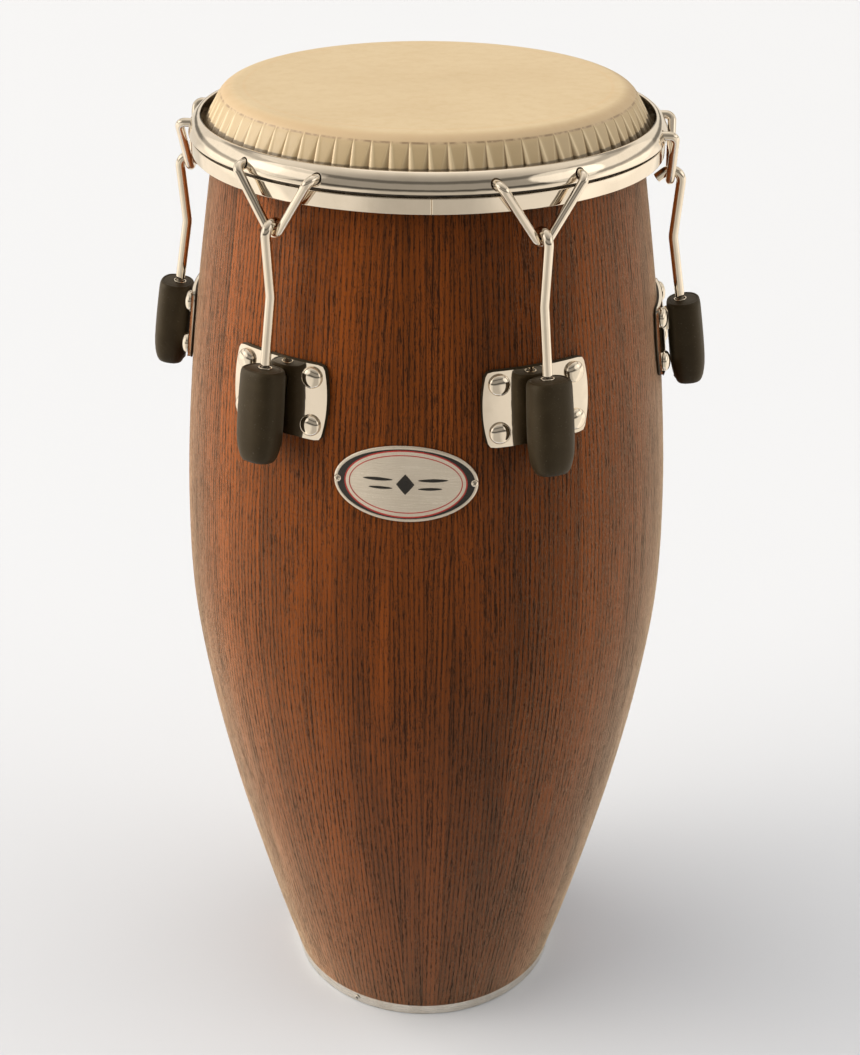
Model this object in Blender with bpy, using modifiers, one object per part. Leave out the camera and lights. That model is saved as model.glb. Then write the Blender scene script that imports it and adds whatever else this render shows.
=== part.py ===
"""Conga drum: a barrel of glued wooden staves with a synthetic head, a steel crown and six tuning lugs.

Metres, +Z up. The origin is on the floor under the middle of the drum. -Y is the badge side.
"""

import math

import bmesh
import bpy
from mathutils import Matrix, Vector

GAP = 0.0003  # clearance between neighbouring pieces
STEPS = 48  # facets round the large turned pieces

# Shell: height of each station and the outer radius there.
SHELL_STATIONS = (
    (0.0102, 0.1141),
    (0.062, 0.1281),
    (0.134, 0.1455),
    (0.207, 0.1615),
    (0.289, 0.1757),
    (0.372, 0.1847),
    (0.455, 0.1841),
    (0.537, 0.1778),
    (0.620, 0.1675),
    (0.7515, 0.1468),
)
WALL = 0.012

# Base band, a flat steel hoop let into the foot of the shell.
BAND_HEIGHT = 0.0098
BAND_RADIUS = 0.1127
BAND_THICK = 0.0009
BAND_SCREW_ANGLES = (-120, 0, 120)

# Head: a flat film, rounded over the bearing edge, with a collar that flares out to the flesh hoop.
HEAD_TOP = 0.762
HEAD_FLAT_RADIUS = 0.1339
HEAD_ROUNDING = 0.0152
HEAD_THICK = 0.001
COLLAR_SLOPE = math.radians(28.5)
COLLAR_END = 0.7225

# Flesh hoop: a steel channel that holds the foot of the collar.
HOOP_BOTTOM = 0.7184
HOOP_TOP = 0.7288
HOOP_RADIUS = 0.1665
HOOP_INNER = 0.1588
HOOP_SHEET = 0.0015

# Crown: a spun steel ring that bulges from its inner lip down to its lower edge.
CROWN_LIP_RADIUS = 0.1605
CROWN_LIP_HEIGHT = 0.7441
CROWN_RADIUS = 0.1680
CROWN_BOTTOM = 0.7318
CROWN_BULGE = 1.22
CROWN_LEG = (0.1628, 0.1646)

# Lugs, counted anticlockwise from the front left one.
LUG_ANGLES = tuple(-125 + 60 * number for number in range(6))

# V-loop: a steel wire that hangs from two holes in the crown.
LOOP_WIRE = 0.0031
LOOP_HALF_WIDTH = 0.0296
LOOP_PLANE = 0.1718
LOOP_HINGE = Vector((0.1644, 0, 0.7366))
LOOP_END = 0.1590
LOOP_BOTTOM = 0.6980
LOOP_BEND = 0.0067
LOOP_SHOULDER = 0.0045

# Hook rod: hooked over the V-loop, cranked at the knee and threaded below its shoulder.
ROD_RADIUS = 0.0034
THREAD_RADIUS = 0.0029
ROD_TILT = math.radians(10.3)
ROD_SEAT = Vector((0.1858, 0, 0.6097))  # on the lower shaft's axis, level with the sleeve's top
HOOK_CENTRE = Vector((0.1722, 0, 0.6973))
HOOK_RADIUS = 0.0076
HOOK_SWEEP = math.radians(130)
HOOK_TIP = 0.0065
KNEE_ABOVE_SEAT = 0.0479
SHOULDER_ABOVE_SEAT = 0.0018
THREAD_LENGTH = 0.050

# Side plate and its gasket, curved to the shell.
PLATE_MIDDLE = 0.5880
PLATE_HALF_HEIGHT = 0.0252
PLATE_HALF_WIDTH = 0.0350
PLATE_BOW = 0.0037
PLATE_THICK = 0.0024
GASKET_THICK = 0.0015
GASKET_MARGIN = 0.0012
GASKET_STANDOFF = 0.0006
BOLT_ACROSS = 0.0277
BOLT_UP = 0.0163
BOLT_HEAD_RADIUS = 0.0074
BOLT_HEAD_HEIGHT = 0.0042
BOLT_SHANK = 0.0028
BOLT_HOLE = 0.0034
STRAP_STANDOFF = 0.0014
STRAP_THICK = 0.0020

# Ear of the side plate, the bush on it, the nut below it and the rubber sleeve round them.
EAR_TOP = -0.0062
EAR_HEIGHT = 0.0140
EAR_HALF_WIDTH = 0.0065
EAR_REACH = 0.0126
BUSH_RADIUS = 0.0047
ROD_HOLE = 0.0038
NUT_RADIUS = 0.0072
NUT_HEIGHT = 0.0065
NUT_BORE = 0.0034
SLEEVE_LENGTH = 0.0635
SLEEVE_RADIUS = 0.0157
SLEEVE_DEPTH = 0.83  # depth over width of the section
SLEEVE_SQUARENESS = 2.5  # 2 is an ellipse, more is closer to a rounded rectangle
SLEEVE_OFFSET = 0.0020
SLEEVE_TILT = math.radians(8.5)
SLEEVE_BORE = 0.0092

# Badge: an oval metal plate held by two pins.
BADGE_ANGLE = math.radians(-94.5)
BADGE_HEIGHT = 0.5374
BADGE_HALF_WIDTH = 0.0488
BADGE_HALF_HEIGHT = 0.0268
BADGE_THICK = 0.0008
BADGE_STANDOFF = 0.0006
PIN_ACROSS = 0.0462
PIN_HEAD = 0.0026
PIN_SHANK = 0.0008


def clear_scene():
    for obj in list(bpy.data.objects):
        bpy.data.objects.remove(obj, do_unlink=True)


def new_collection(name):
    collection = bpy.data.collections.new(name)
    bpy.context.scene.collection.children.link(collection)
    return collection


def new_material(name, colour, roughness, metallic=0.0):
    material = bpy.data.materials.new(name)
    material.use_nodes = True
    shader = material.node_tree.nodes["Principled BSDF"]
    shader.inputs["Base Color"].default_value = (*colour, 1)
    shader.inputs["Roughness"].default_value = roughness
    shader.inputs["Metallic"].default_value = metallic
    material.diffuse_color = (*colour, 1)
    return material


def add_object(name, data, material=None, matrix=None):
    """A new object of the drum, with its material."""
    obj = bpy.data.objects.new(name, data)
    parts.objects.link(obj)
    if material and not data.materials:
        data.materials.append(material)
    if matrix:
        obj.matrix_world = matrix
    return obj


def turned(name, outline, steps=STEPS, material=None, closed=True):
    """A turned piece. The outline of (radius, height) runs down the outer side and up the inner one."""
    count = len(outline)
    edges = [(index, (index + 1) % count) for index in range(count if closed else count - 1)]
    mesh = bpy.data.meshes.new(name)
    mesh.from_pydata([(radius, 0, height) for radius, height in outline], edges, [])
    obj = add_object(name, mesh, material)
    screw = obj.modifiers.new("turn", "SCREW")
    screw.steps = steps
    screw.render_steps = steps
    screw.use_merge_vertices = True
    screw.merge_threshold = 0.00001
    screw.use_smooth_shade = True
    return obj


def baked(obj):
    """The object's finished mesh. The object itself is removed."""
    graph = bpy.context.evaluated_depsgraph_get()
    mesh = bpy.data.meshes.new_from_object(obj.evaluated_get(graph))
    mesh.name = obj.name
    bpy.data.objects.remove(obj, do_unlink=True)
    return mesh


def shade(mesh, angle=35):
    mesh.shade_smooth()
    mesh.set_sharp_from_angle(angle=math.radians(angle))


def combined(name, pieces):
    """One mesh of several (mesh, matrix) pairs."""
    bm = bmesh.new()
    for mesh, matrix in pieces:
        before = len(bm.verts)
        bm.from_mesh(mesh)
        bm.verts.ensure_lookup_table()
        bmesh.ops.transform(bm, matrix=matrix, verts=bm.verts[before:])
    bmesh.ops.recalc_face_normals(bm, faces=bm.faces)
    mesh = bpy.data.meshes.new(name)
    bm.to_mesh(mesh)
    bm.free()
    return mesh


def cylinder_mesh(name, radius, low, high, sides):
    """A straight cylinder along Z from low to high."""
    bm = bmesh.new()
    middle = Matrix.Translation((0, 0, (low + high) / 2))
    bmesh.ops.create_cone(
        bm, cap_ends=True, segments=sides, radius1=radius, radius2=radius, depth=high - low, matrix=middle
    )
    mesh = bpy.data.meshes.new(name)
    bm.to_mesh(mesh)
    bm.free()
    return mesh


def box_mesh(name, low, high):
    bm = bmesh.new()
    size = Vector(high) - Vector(low)
    place = Matrix.Translation((Vector(low) + Vector(high)) / 2) @ Matrix.Diagonal((*size, 1))
    bmesh.ops.create_cube(bm, size=1, matrix=place)
    mesh = bpy.data.meshes.new(name)
    bm.to_mesh(mesh)
    bm.free()
    return mesh


def add_cutter(name, mesh):
    cutter = bpy.data.objects.new(name, mesh)
    cutters.objects.link(cutter)
    cutter.hide_render = True
    cutter.display_type = "WIRE"
    return cutter


def boolean(obj, mesh, operation="DIFFERENCE"):
    """Cuts the mesh out of the object, or joins it on."""
    modifier = obj.modifiers.new(mesh.name, "BOOLEAN")
    modifier.operation = operation
    modifier.solver = "EXACT"
    modifier.object = add_cutter(mesh.name, mesh)


def shell_radius(height):
    """Outer radius of the shell, a cubic curve through its stations."""
    stations = SHELL_STATIONS
    count = len(stations)
    slopes = []
    for index in range(count):
        before = stations[max(index - 1, 0)]
        after = stations[min(index + 1, count - 1)]
        slopes.append((after[1] - before[1]) / (after[0] - before[0]))
    for index in range(count - 1):
        if height <= stations[index + 1][0]:
            break
    (low, start), (high, end) = stations[index], stations[index + 1]
    span = high - low
    t = (height - low) / span
    return (
        start * (2 * t**3 - 3 * t**2 + 1)
        + end * (3 * t**2 - 2 * t**3)
        + slopes[index] * span * (t**3 - 2 * t**2 + t)
        + slopes[index + 1] * span * (t**3 - t**2)
    )


def on_shell(angle, height, offset=0.0):
    """A frame on the shell: X runs round it, Y up it and Z out of it."""
    slope = (shell_radius(height + 0.001) - shell_radius(height - 0.001)) / 0.002
    out = Vector((1, 0, -slope)).normalized()
    round_it = Vector((0, 1, 0))
    place = Matrix.Translation(Vector((shell_radius(height), 0, height)) + out * offset)
    place = place @ Matrix((round_it, out.cross(round_it), out)).transposed().to_4x4()
    return Matrix.Rotation(angle, 4, "Z") @ place


def arc(centre, radius, start, end, count):
    """Points on an arc in a plane of (radius, height), with angles from the outward direction."""
    angles = [start + (end - start) * index / count for index in range(count + 1)]
    return [(centre[0] + radius * math.cos(a), centre[1] + radius * math.sin(a)) for a in angles]


def collar_radius(height):
    """Outer radius of the head's collar."""
    start_radius = HEAD_FLAT_RADIUS + HEAD_ROUNDING * math.cos(COLLAR_SLOPE)
    start_height = HEAD_TOP - HEAD_ROUNDING * (1 - math.sin(COLLAR_SLOPE))
    return start_radius + (start_height - height) * math.tan(COLLAR_SLOPE)


# ---------------------------------------------------------------- turned pieces


def make_shell():
    centre = (HEAD_FLAT_RADIUS, HEAD_TOP - HEAD_ROUNDING)
    edge = HEAD_ROUNDING - HEAD_THICK - 0.0004
    heights = [0.7515, 0.68, 0.614, 0.562, 0.50, 0.43, 0.36, 0.28, 0.19, 0.10, 0.0102]
    outline = arc(centre, edge, math.pi / 2, math.radians(38), 2)
    outline += [(shell_radius(height), height) for height in heights]
    rebate = BAND_RADIUS - BAND_THICK - 0.0004
    outline += [(rebate, heights[-1]), (rebate, 0), (rebate - WALL + 0.001, 0)]
    outline += [(shell_radius(height) - WALL, height) for height in reversed(heights[1:-1])]
    outline.append((HEAD_FLAT_RADIUS - 0.0004, HEAD_TOP - 0.006))
    shell = turned("shell", outline, material=wood)

    bolt_hole = cylinder_mesh("bolt_hole", BOLT_HOLE, -0.03, 0.02, 6)
    pin_hole = cylinder_mesh("pin_hole", PIN_SHANK + 0.0004, -0.010, 0.01, 6)
    holes = [(bolt_hole, frame) for angle in LUG_ANGLES for frame in bolt_frames(math.radians(angle))]
    holes += [(pin_hole, frame) for frame in pin_frames()]
    holes += [(pin_hole, band_screw_frame(angle)) for angle in BAND_SCREW_ANGLES]
    boolean(shell, combined("shell_holes", holes))


def make_base_band():
    inner = BAND_RADIUS - BAND_THICK
    bottom = 0.0004
    outline = [(BAND_RADIUS, BAND_HEIGHT), (BAND_RADIUS, bottom), (inner, bottom), (inner, BAND_HEIGHT)]
    band = turned("base_band", outline, material=steel)
    hole = cylinder_mesh("band_hole", PIN_SHANK + 0.0004, -0.010, 0.01, 6)
    holes = [(hole, band_screw_frame(angle)) for angle in BAND_SCREW_ANGLES]
    boolean(band, combined("band_holes", holes))

    outline = [(0, 0.0011), (0.0016, 0.0008), (0.0024, 0), (PIN_SHANK, 0), (PIN_SHANK, -0.008), (0, -0.008)]
    screw = baked(turned("base_band_screw", outline, 8, closed=False))
    shade(screw)
    for number, angle in enumerate(BAND_SCREW_ANGLES, 1):
        add_object(f"base_band_screw_{number}", screw, steel, band_screw_frame(angle))


def band_screw_frame(angle):
    """A frame on the band's outer face, Z outward."""
    place = Matrix.Translation((BAND_RADIUS + GAP, 0, BAND_HEIGHT / 2)) @ Matrix.Rotation(math.pi / 2, 4, "Y")
    return Matrix.Rotation(math.radians(angle), 4, "Z") @ place


def make_head():
    centre = (HEAD_FLAT_RADIUS, HEAD_TOP - HEAD_ROUNDING)
    across = HEAD_THICK / math.cos(COLLAR_SLOPE)
    outline = [(0, HEAD_TOP)]
    outline += arc(centre, HEAD_ROUNDING, math.pi / 2, COLLAR_SLOPE, 4)
    outline += [(collar_radius(COLLAR_END), COLLAR_END), (collar_radius(COLLAR_END) - across, COLLAR_END)]
    outline += arc(centre, HEAD_ROUNDING - HEAD_THICK, COLLAR_SLOPE, math.pi / 2, 4)
    outline.append((0, HEAD_TOP - HEAD_THICK))
    turned("drum_head", outline, material=film, closed=False)


def make_flesh_hoop():
    outer_wall = HOOP_RADIUS - HOOP_SHEET
    inner_wall = HOOP_INNER + HOOP_SHEET
    inner_top = HOOP_TOP - 0.0026
    outline = [
        (HOOP_RADIUS, HOOP_TOP),
        (HOOP_RADIUS, HOOP_BOTTOM),
        (HOOP_INNER, HOOP_BOTTOM),
        (HOOP_INNER, inner_top),
        (inner_wall, inner_top),
        (inner_wall, HOOP_BOTTOM + HOOP_SHEET),
        (outer_wall, HOOP_BOTTOM + HOOP_SHEET),
        (outer_wall, HOOP_TOP),
    ]
    turned("flesh_hoop", outline, material=chrome)


def make_crown():
    rise = CROWN_LIP_HEIGHT - CROWN_BOTTOM - GAP
    swell = CROWN_RADIUS - CROWN_LIP_RADIUS
    outline = []
    for index in range(5):
        turn = math.pi / 2 * index / 4
        across = math.sin(turn) ** CROWN_BULGE
        up = max(math.cos(turn), 0) ** CROWN_BULGE
        outline.append((CROWN_LIP_RADIUS + swell * across, CROWN_BOTTOM + GAP + rise * up))
    leg_inner, leg_outer = CROWN_LEG
    outline += [
        (CROWN_RADIUS, CROWN_BOTTOM),
        (leg_outer, CROWN_BOTTOM),
        (leg_outer, HOOP_TOP + GAP),
        (leg_inner, HOOP_TOP + GAP),
        (leg_inner, CROWN_BOTTOM + 0.003),
        (CROWN_LIP_RADIUS - 0.0007, CROWN_LIP_HEIGHT - 0.003),
        (CROWN_LIP_RADIUS - 0.0014, CROWN_LIP_HEIGHT - 0.0005),
    ]
    crown = turned("crown", outline, material=chrome)
    hole = cylinder_mesh("loop_hole", LOOP_WIRE + 0.0007, -0.012, 0.012, 12)
    holes = []
    for angle in LUG_ANGLES:
        for side in (-1, 1):
            place = Matrix.Translation(LOOP_HINGE + Vector((0, side * LOOP_HALF_WIDTH, 0)))
            place = place @ Matrix.Rotation(math.pi / 2, 4, "Y")
            holes.append((hole, Matrix.Rotation(math.radians(angle), 4, "Z") @ place))
    boolean(crown, combined("loop_holes", holes))


# ---------------------------------------------------------------- plates and fasteners


def bolt_frames(angle):
    """Frames of the four bolts of the lug at this angle, on the shell's outer face."""
    turn = BOLT_ACROSS / shell_radius(PLATE_MIDDLE)
    return [
        on_shell(angle + side * turn, PLATE_MIDDLE + level * BOLT_UP)
        for side in (-1, 1)
        for level in (-1, 1)
    ]


def curved_sheet(name, middle, half_height, half_width, bow, columns, rows, standoff, thick):
    """A sheet that follows the shell, with its centre on the +X side. Its short edges are bowed outward."""
    bm = bmesh.new()
    bmesh.ops.create_grid(bm, x_segments=columns, y_segments=rows, size=1)
    for vert in bm.verts:
        across, up = vert.co.x, vert.co.y
        height = middle + up * half_height
        radius = shell_radius(height) + standoff
        turn = across * (half_width + bow * (1 - up * up)) / radius
        vert.co = (radius * math.cos(turn), radius * math.sin(turn), height)
    bmesh.ops.recalc_face_normals(bm, faces=bm.faces)
    if sum(face.normal.x for face in bm.faces) < 0:
        bmesh.ops.reverse_faces(bm, faces=bm.faces)
    mesh = bpy.data.meshes.new(name)
    bm.to_mesh(mesh)
    bm.free()
    sheet = add_object(name, mesh)
    solid = sheet.modifiers.new("thickness", "SOLIDIFY")
    solid.thickness = thick
    solid.offset = 1
    return sheet


def seat_frame(tilt=ROD_TILT):
    """The hook rod's lower shaft: Z runs up its axis and X points away from the drum."""
    return Matrix.Translation(ROD_SEAT) @ Matrix.Rotation(-tilt, 4, "Y")


def ear_mesh():
    """The ear, a block with a round nose that reaches back through the side plate."""
    nose = arc((0, 0), EAR_HALF_WIDTH, -math.pi / 2, math.pi / 2, 6)
    outline = [(-EAR_REACH, -EAR_HALF_WIDTH), *nose, (-EAR_REACH, EAR_HALF_WIDTH)]
    bm = bmesh.new()
    face = bm.faces.new([bm.verts.new((x, y, EAR_TOP - EAR_HEIGHT)) for x, y in outline])
    up = bmesh.ops.extrude_face_region(bm, geom=[face])["geom"]
    tops = [item for item in up if isinstance(item, bmesh.types.BMVert)]
    bmesh.ops.translate(bm, verts=tops, vec=(0, 0, EAR_HEIGHT))
    bmesh.ops.recalc_face_normals(bm, faces=bm.faces)
    mesh = bpy.data.meshes.new("ear")
    bm.to_mesh(mesh)
    bm.free()
    return mesh


def side_plate_mesh():
    plate = curved_sheet(
        "side_plate",
        PLATE_MIDDLE,
        PLATE_HALF_HEIGHT,
        PLATE_HALF_WIDTH,
        PLATE_BOW,
        8,
        2,
        GASKET_STANDOFF + GASKET_THICK + GAP,
        PLATE_THICK,
    )
    seat = seat_frame()
    boolean(plate, combined("plate_ear", [(ear_mesh(), seat)]), "UNION")
    bush = cylinder_mesh("bush", BUSH_RADIUS, EAR_TOP - 0.002, 0.0006, 12)
    boolean(plate, combined("plate_bush", [(bush, seat)]), "UNION")
    rod_hole = cylinder_mesh("rod_hole", ROD_HOLE, -0.03, 0.01, 12)
    bolt_hole = cylinder_mesh("bolt_hole", BOLT_HOLE, -0.02, 0.02, 6)
    holes = [(rod_hole, seat)] + [(bolt_hole, frame) for frame in bolt_frames(0)]
    boolean(plate, combined("plate_holes", holes))
    return finished(plate)


def finished(obj):
    """The finished mesh of a small piece, with its cutters and joined shapes gone."""
    tools = [modifier.object for modifier in obj.modifiers if modifier.type == "BOOLEAN"]
    mesh = baked(obj)
    for tool in tools:
        bpy.data.objects.remove(tool, do_unlink=True)
    shade(mesh)
    return mesh


def gasket_mesh():
    gasket = curved_sheet(
        "plate_gasket",
        PLATE_MIDDLE,
        PLATE_HALF_HEIGHT + GASKET_MARGIN,
        PLATE_HALF_WIDTH + GASKET_MARGIN,
        PLATE_BOW,
        8,
        2,
        GASKET_STANDOFF,
        GASKET_THICK,
    )
    bolt_hole = cylinder_mesh("bolt_hole", BOLT_HOLE, -0.02, 0.02, 6)
    boolean(gasket, combined("gasket_holes", [(bolt_hole, frame) for frame in bolt_frames(0)]))
    return finished(gasket)


def bolts_mesh():
    """Four dome-headed bolts through the wall, on the backing strap inside the shell."""
    strap = curved_sheet(
        "plate_bolts",
        PLATE_MIDDLE,
        PLATE_HALF_HEIGHT - 0.003,
        PLATE_HALF_WIDTH - 0.001,
        0,
        5,
        1,
        -WALL - STRAP_STANDOFF - STRAP_THICK,
        STRAP_THICK,
    )
    head = GASKET_STANDOFF + GASKET_THICK + PLATE_THICK + 2 * GAP
    end = -WALL - STRAP_STANDOFF - STRAP_THICK - 0.002
    outline = [
        (0, head + BOLT_HEAD_HEIGHT),
        (0.6 * BOLT_HEAD_RADIUS, head + 0.82 * BOLT_HEAD_HEIGHT),
        (BOLT_HEAD_RADIUS, head + 0.15 * BOLT_HEAD_HEIGHT),
        (BOLT_HEAD_RADIUS, head),
        (BOLT_SHANK, head),
        (BOLT_SHANK, end),
        (0, end),
    ]
    bolt = baked(turned("bolt", outline, 6, closed=False))
    boolean(strap, combined("four_bolts", [(bolt, frame) for frame in bolt_frames(0)]), "UNION")
    return finished(strap)


def nut_mesh():
    top = EAR_TOP - EAR_HEIGHT - GAP
    nut = add_object("tuning_nut", cylinder_mesh("nut", NUT_RADIUS, top - NUT_HEIGHT, top, 6))
    boolean(nut, cylinder_mesh("nut_bore", NUT_BORE, top - NUT_HEIGHT - 0.01, top + 0.01, 12))
    return finished(nut)


def sleeve_mesh():
    """The oval rubber sleeve, open at its foot, with a slot at its back for the ear."""
    outline = [
        (0, 0),
        (0.0125, 0),
        (0.0146, -0.0016),
        (0.0152, -0.008),
        (SLEEVE_RADIUS, -0.028),
        (SLEEVE_RADIUS, -0.047),
        (0.0146, -0.0565),
        (0.0120, -0.0620),
        (0.0098, -SLEEVE_LENGTH),
        (0, -SLEEVE_LENGTH),
    ]
    body = baked(turned("sleeve_body", outline, 14, closed=False))
    for vert in body.vertices:
        x, y = vert.co.x, vert.co.y
        reach = math.hypot(x, y)
        if reach:
            powers = abs(x) ** SLEEVE_SQUARENESS + abs(y) ** SLEEVE_SQUARENESS
            square = reach / powers ** (1 / SLEEVE_SQUARENESS)
            vert.co.x = x * square * SLEEVE_DEPTH + SLEEVE_OFFSET
            vert.co.y = y * square
    sleeve = add_object("lug_sleeve", body)
    ceiling = EAR_TOP + 2 * GAP
    boolean(sleeve, cylinder_mesh("sleeve_bore", SLEEVE_BORE, -SLEEVE_LENGTH - 0.01, ceiling, 12))
    boolean(sleeve, cylinder_mesh("sleeve_mouth", BUSH_RADIUS + 2 * GAP, ceiling - 0.002, 0.01, 12))
    half = EAR_HALF_WIDTH + 2 * GAP
    low = (-0.02, -half, EAR_TOP - EAR_HEIGHT - 4 * GAP)
    boolean(sleeve, box_mesh("sleeve_slot", low, (0, half, ceiling)))
    return finished(sleeve)


# ---------------------------------------------------------------- wires


def fillet(before, corner, after, radius, count):
    """Points of an arc that rounds a corner of a wire."""
    arrive = (before - corner).normalized()
    leave = (after - corner).normalized()
    half = arrive.angle(leave) / 2
    middle = (arrive + leave).normalized()
    centre = corner + middle * (radius / math.sin(half))
    start = corner + arrive * (radius / math.tan(half)) - centre
    axis = start.cross(corner + leave * (radius / math.tan(half)) - centre).normalized()
    sweep = math.pi - 2 * half
    return [centre + Matrix.Rotation(sweep * i / count, 3, axis) @ start for i in range(count + 1)]


def wire_curve(name, points, radius, scales=None):
    """A round wire through the points. Each scale widens or narrows it at its point."""
    curve = bpy.data.curves.new(name, "CURVE")
    curve.dimensions = "3D"
    curve.bevel_depth = radius
    curve.bevel_resolution = 1
    curve.use_fill_caps = True
    spline = curve.splines.new("POLY")
    spline.points.add(len(points) - 1)
    for index, point in enumerate(points):
        spline.points[index].co = (*point, 1)
        spline.points[index].radius = scales[index] if scales else 1
    return curve


def loop_corner_drop():
    """How far the corner of the V lies below the hinge, for its rounded bend to end at LOOP_BOTTOM."""
    ratio = LOOP_BEND / LOOP_HALF_WIDTH
    lift = LOOP_BEND - (LOOP_HINGE.z - LOOP_BOTTOM)
    inside = lift**2 - (1 - ratio**2) * (lift**2 - LOOP_BEND**2)
    return (math.sqrt(inside) - lift) / (1 - ratio**2)


def loop_curve():
    """The V-loop, relative to its hinge on the crown."""
    top = LOOP_HINGE.z
    bottom = Vector((LOOP_PLANE, 0, top - loop_corner_drop()))
    corners = [Vector((LOOP_PLANE, side * LOOP_HALF_WIDTH, top)) for side in (1, -1)]
    ends = [Vector((LOOP_END, corner.y, top)) for corner in corners]
    left, right = [
        [end, *fillet(end, corner, bottom, LOOP_SHOULDER, 3)] for end, corner in zip(ends, corners)
    ]
    points = left + fillet(corners[0], bottom, corners[1], LOOP_BEND, 6) + right[::-1]
    return wire_curve("v_loop", [point - LOOP_HINGE for point in points], LOOP_WIRE)


def rod_curve():
    """The hook rod, relative to its seat."""
    seat = seat_frame()
    knee = seat @ Vector((0, 0, KNEE_ABOVE_SEAT))
    lean = math.atan2(HOOK_CENTRE.x + HOOK_RADIUS - knee.x, HOOK_CENTRE.z - knee.z)
    hook = arc((HOOK_CENTRE.x, HOOK_CENTRE.z), HOOK_RADIUS, HOOK_SWEEP, -lean, 7)
    hook = [Vector((x, 0, z)) for x, z in hook]
    along = Vector((-math.sin(HOOK_SWEEP), 0, math.cos(HOOK_SWEEP)))
    shoulder = seat @ Vector((0, 0, SHOULDER_ABOVE_SEAT))
    neck = seat @ Vector((0, 0, SHOULDER_ABOVE_SEAT - 0.0006))
    end = seat @ Vector((0, 0, -THREAD_LENGTH))
    points = [hook[0] + along * HOOK_TIP, *hook, *fillet(hook[-1], knee, shoulder, 0.02, 2)]
    scales = [1] * (len(points) + 1) + [THREAD_RADIUS / ROD_RADIUS] * 2
    points += [shoulder, neck, end]
    return wire_curve("hook_rod", [point - ROD_SEAT for point in points], ROD_RADIUS, scales)


# ---------------------------------------------------------------- badge


def pin_frames():
    turn = PIN_ACROSS / shell_radius(BADGE_HEIGHT)
    return [on_shell(BADGE_ANGLE + side * turn, BADGE_HEIGHT) for side in (-1, 1)]


def make_badge():
    bm = bmesh.new()
    bmesh.ops.create_circle(bm, cap_ends=True, cap_tris=True, segments=24, radius=1)
    bmesh.ops.subdivide_edges(bm, edges=[edge for edge in bm.edges if not edge.is_boundary], cuts=2)
    for vert in bm.verts:
        height = BADGE_HEIGHT + vert.co.y * BADGE_HALF_HEIGHT
        radius = shell_radius(height) + BADGE_STANDOFF
        turn = BADGE_ANGLE + vert.co.x * BADGE_HALF_WIDTH / shell_radius(BADGE_HEIGHT)
        vert.co = (radius * math.cos(turn), radius * math.sin(turn), height)
    bmesh.ops.recalc_face_normals(bm, faces=bm.faces)
    if sum(face.normal.y for face in bm.faces) > 0:
        bmesh.ops.reverse_faces(bm, faces=bm.faces)
    mesh = bpy.data.meshes.new("badge")
    bm.to_mesh(mesh)
    bm.free()
    badge = add_object("badge", mesh, nickel)
    solid = badge.modifiers.new("thickness", "SOLIDIFY")
    solid.thickness = BADGE_THICK
    solid.offset = 1
    hole = cylinder_mesh("badge_hole", PIN_SHANK + 0.0004, -0.010, 0.01, 6)
    boolean(badge, combined("badge_holes", [(hole, frame) for frame in pin_frames()]))

    head = BADGE_STANDOFF + BADGE_THICK + GAP
    outline = [
        (0, head + 0.0011),
        (0.6 * PIN_HEAD, head + 0.0009),
        (PIN_HEAD, head),
        (PIN_SHANK, head),
        (PIN_SHANK, -0.009),
        (0, -0.009),
    ]
    pin = baked(turned("badge_pin", outline, 8, closed=False))
    shade(pin)
    for side, frame in zip(("left", "right"), pin_frames()):
        add_object(f"badge_pin_{side}", pin, nickel, frame)


def make_lugs():
    fixed = {
        "side_plate": (side_plate_mesh(), chrome, Matrix()),
        "plate_gasket": (gasket_mesh(), rubber, Matrix()),
        "plate_bolts": (bolts_mesh(), chrome, Matrix()),
        "lug_sleeve": (sleeve_mesh(), rubber, seat_frame(SLEEVE_TILT)),
        "tuning_nut": (nut_mesh(), steel, seat_frame()),
        "v_loop": (loop_curve(), chrome, Matrix.Translation(LOOP_HINGE)),
        "hook_rod": (rod_curve(), chrome, Matrix.Translation(ROD_SEAT)),
    }
    for number, angle in enumerate(LUG_ANGLES, 1):
        turn = Matrix.Rotation(math.radians(angle), 4, "Z")
        for name, (data, material, place) in fixed.items():
            add_object(f"{name}_{number}", data, material, turn @ place)


clear_scene()
parts = new_collection("conga_drum")
cutters = new_collection("cutters")
wood = new_material("stained_ash", (0.19, 0.055, 0.018), 0.38)
film = new_material("head_film", (0.70, 0.53, 0.33), 0.55)
chrome = new_material("chrome", (0.75, 0.72, 0.66), 0.08, 1.0)
steel = new_material("plain_steel", (0.55, 0.53, 0.50), 0.3, 1.0)
nickel = new_material("badge_nickel", (0.70, 0.68, 0.63), 0.25, 1.0)
rubber = new_material("black_rubber", (0.020, 0.018, 0.016), 0.6)

make_shell()
make_base_band()
make_head()
make_flesh_hoop()
make_crown()
make_badge()
make_lugs()
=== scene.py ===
"""A conga drum with stained oak staves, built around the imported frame.

Metres, +Z up. The origin is on the floor under the middle of the drum, and -Y is the badge side.
"""

import math

import bmesh
import bpy
import numpy as np
from mathutils import Matrix, Vector


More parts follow.
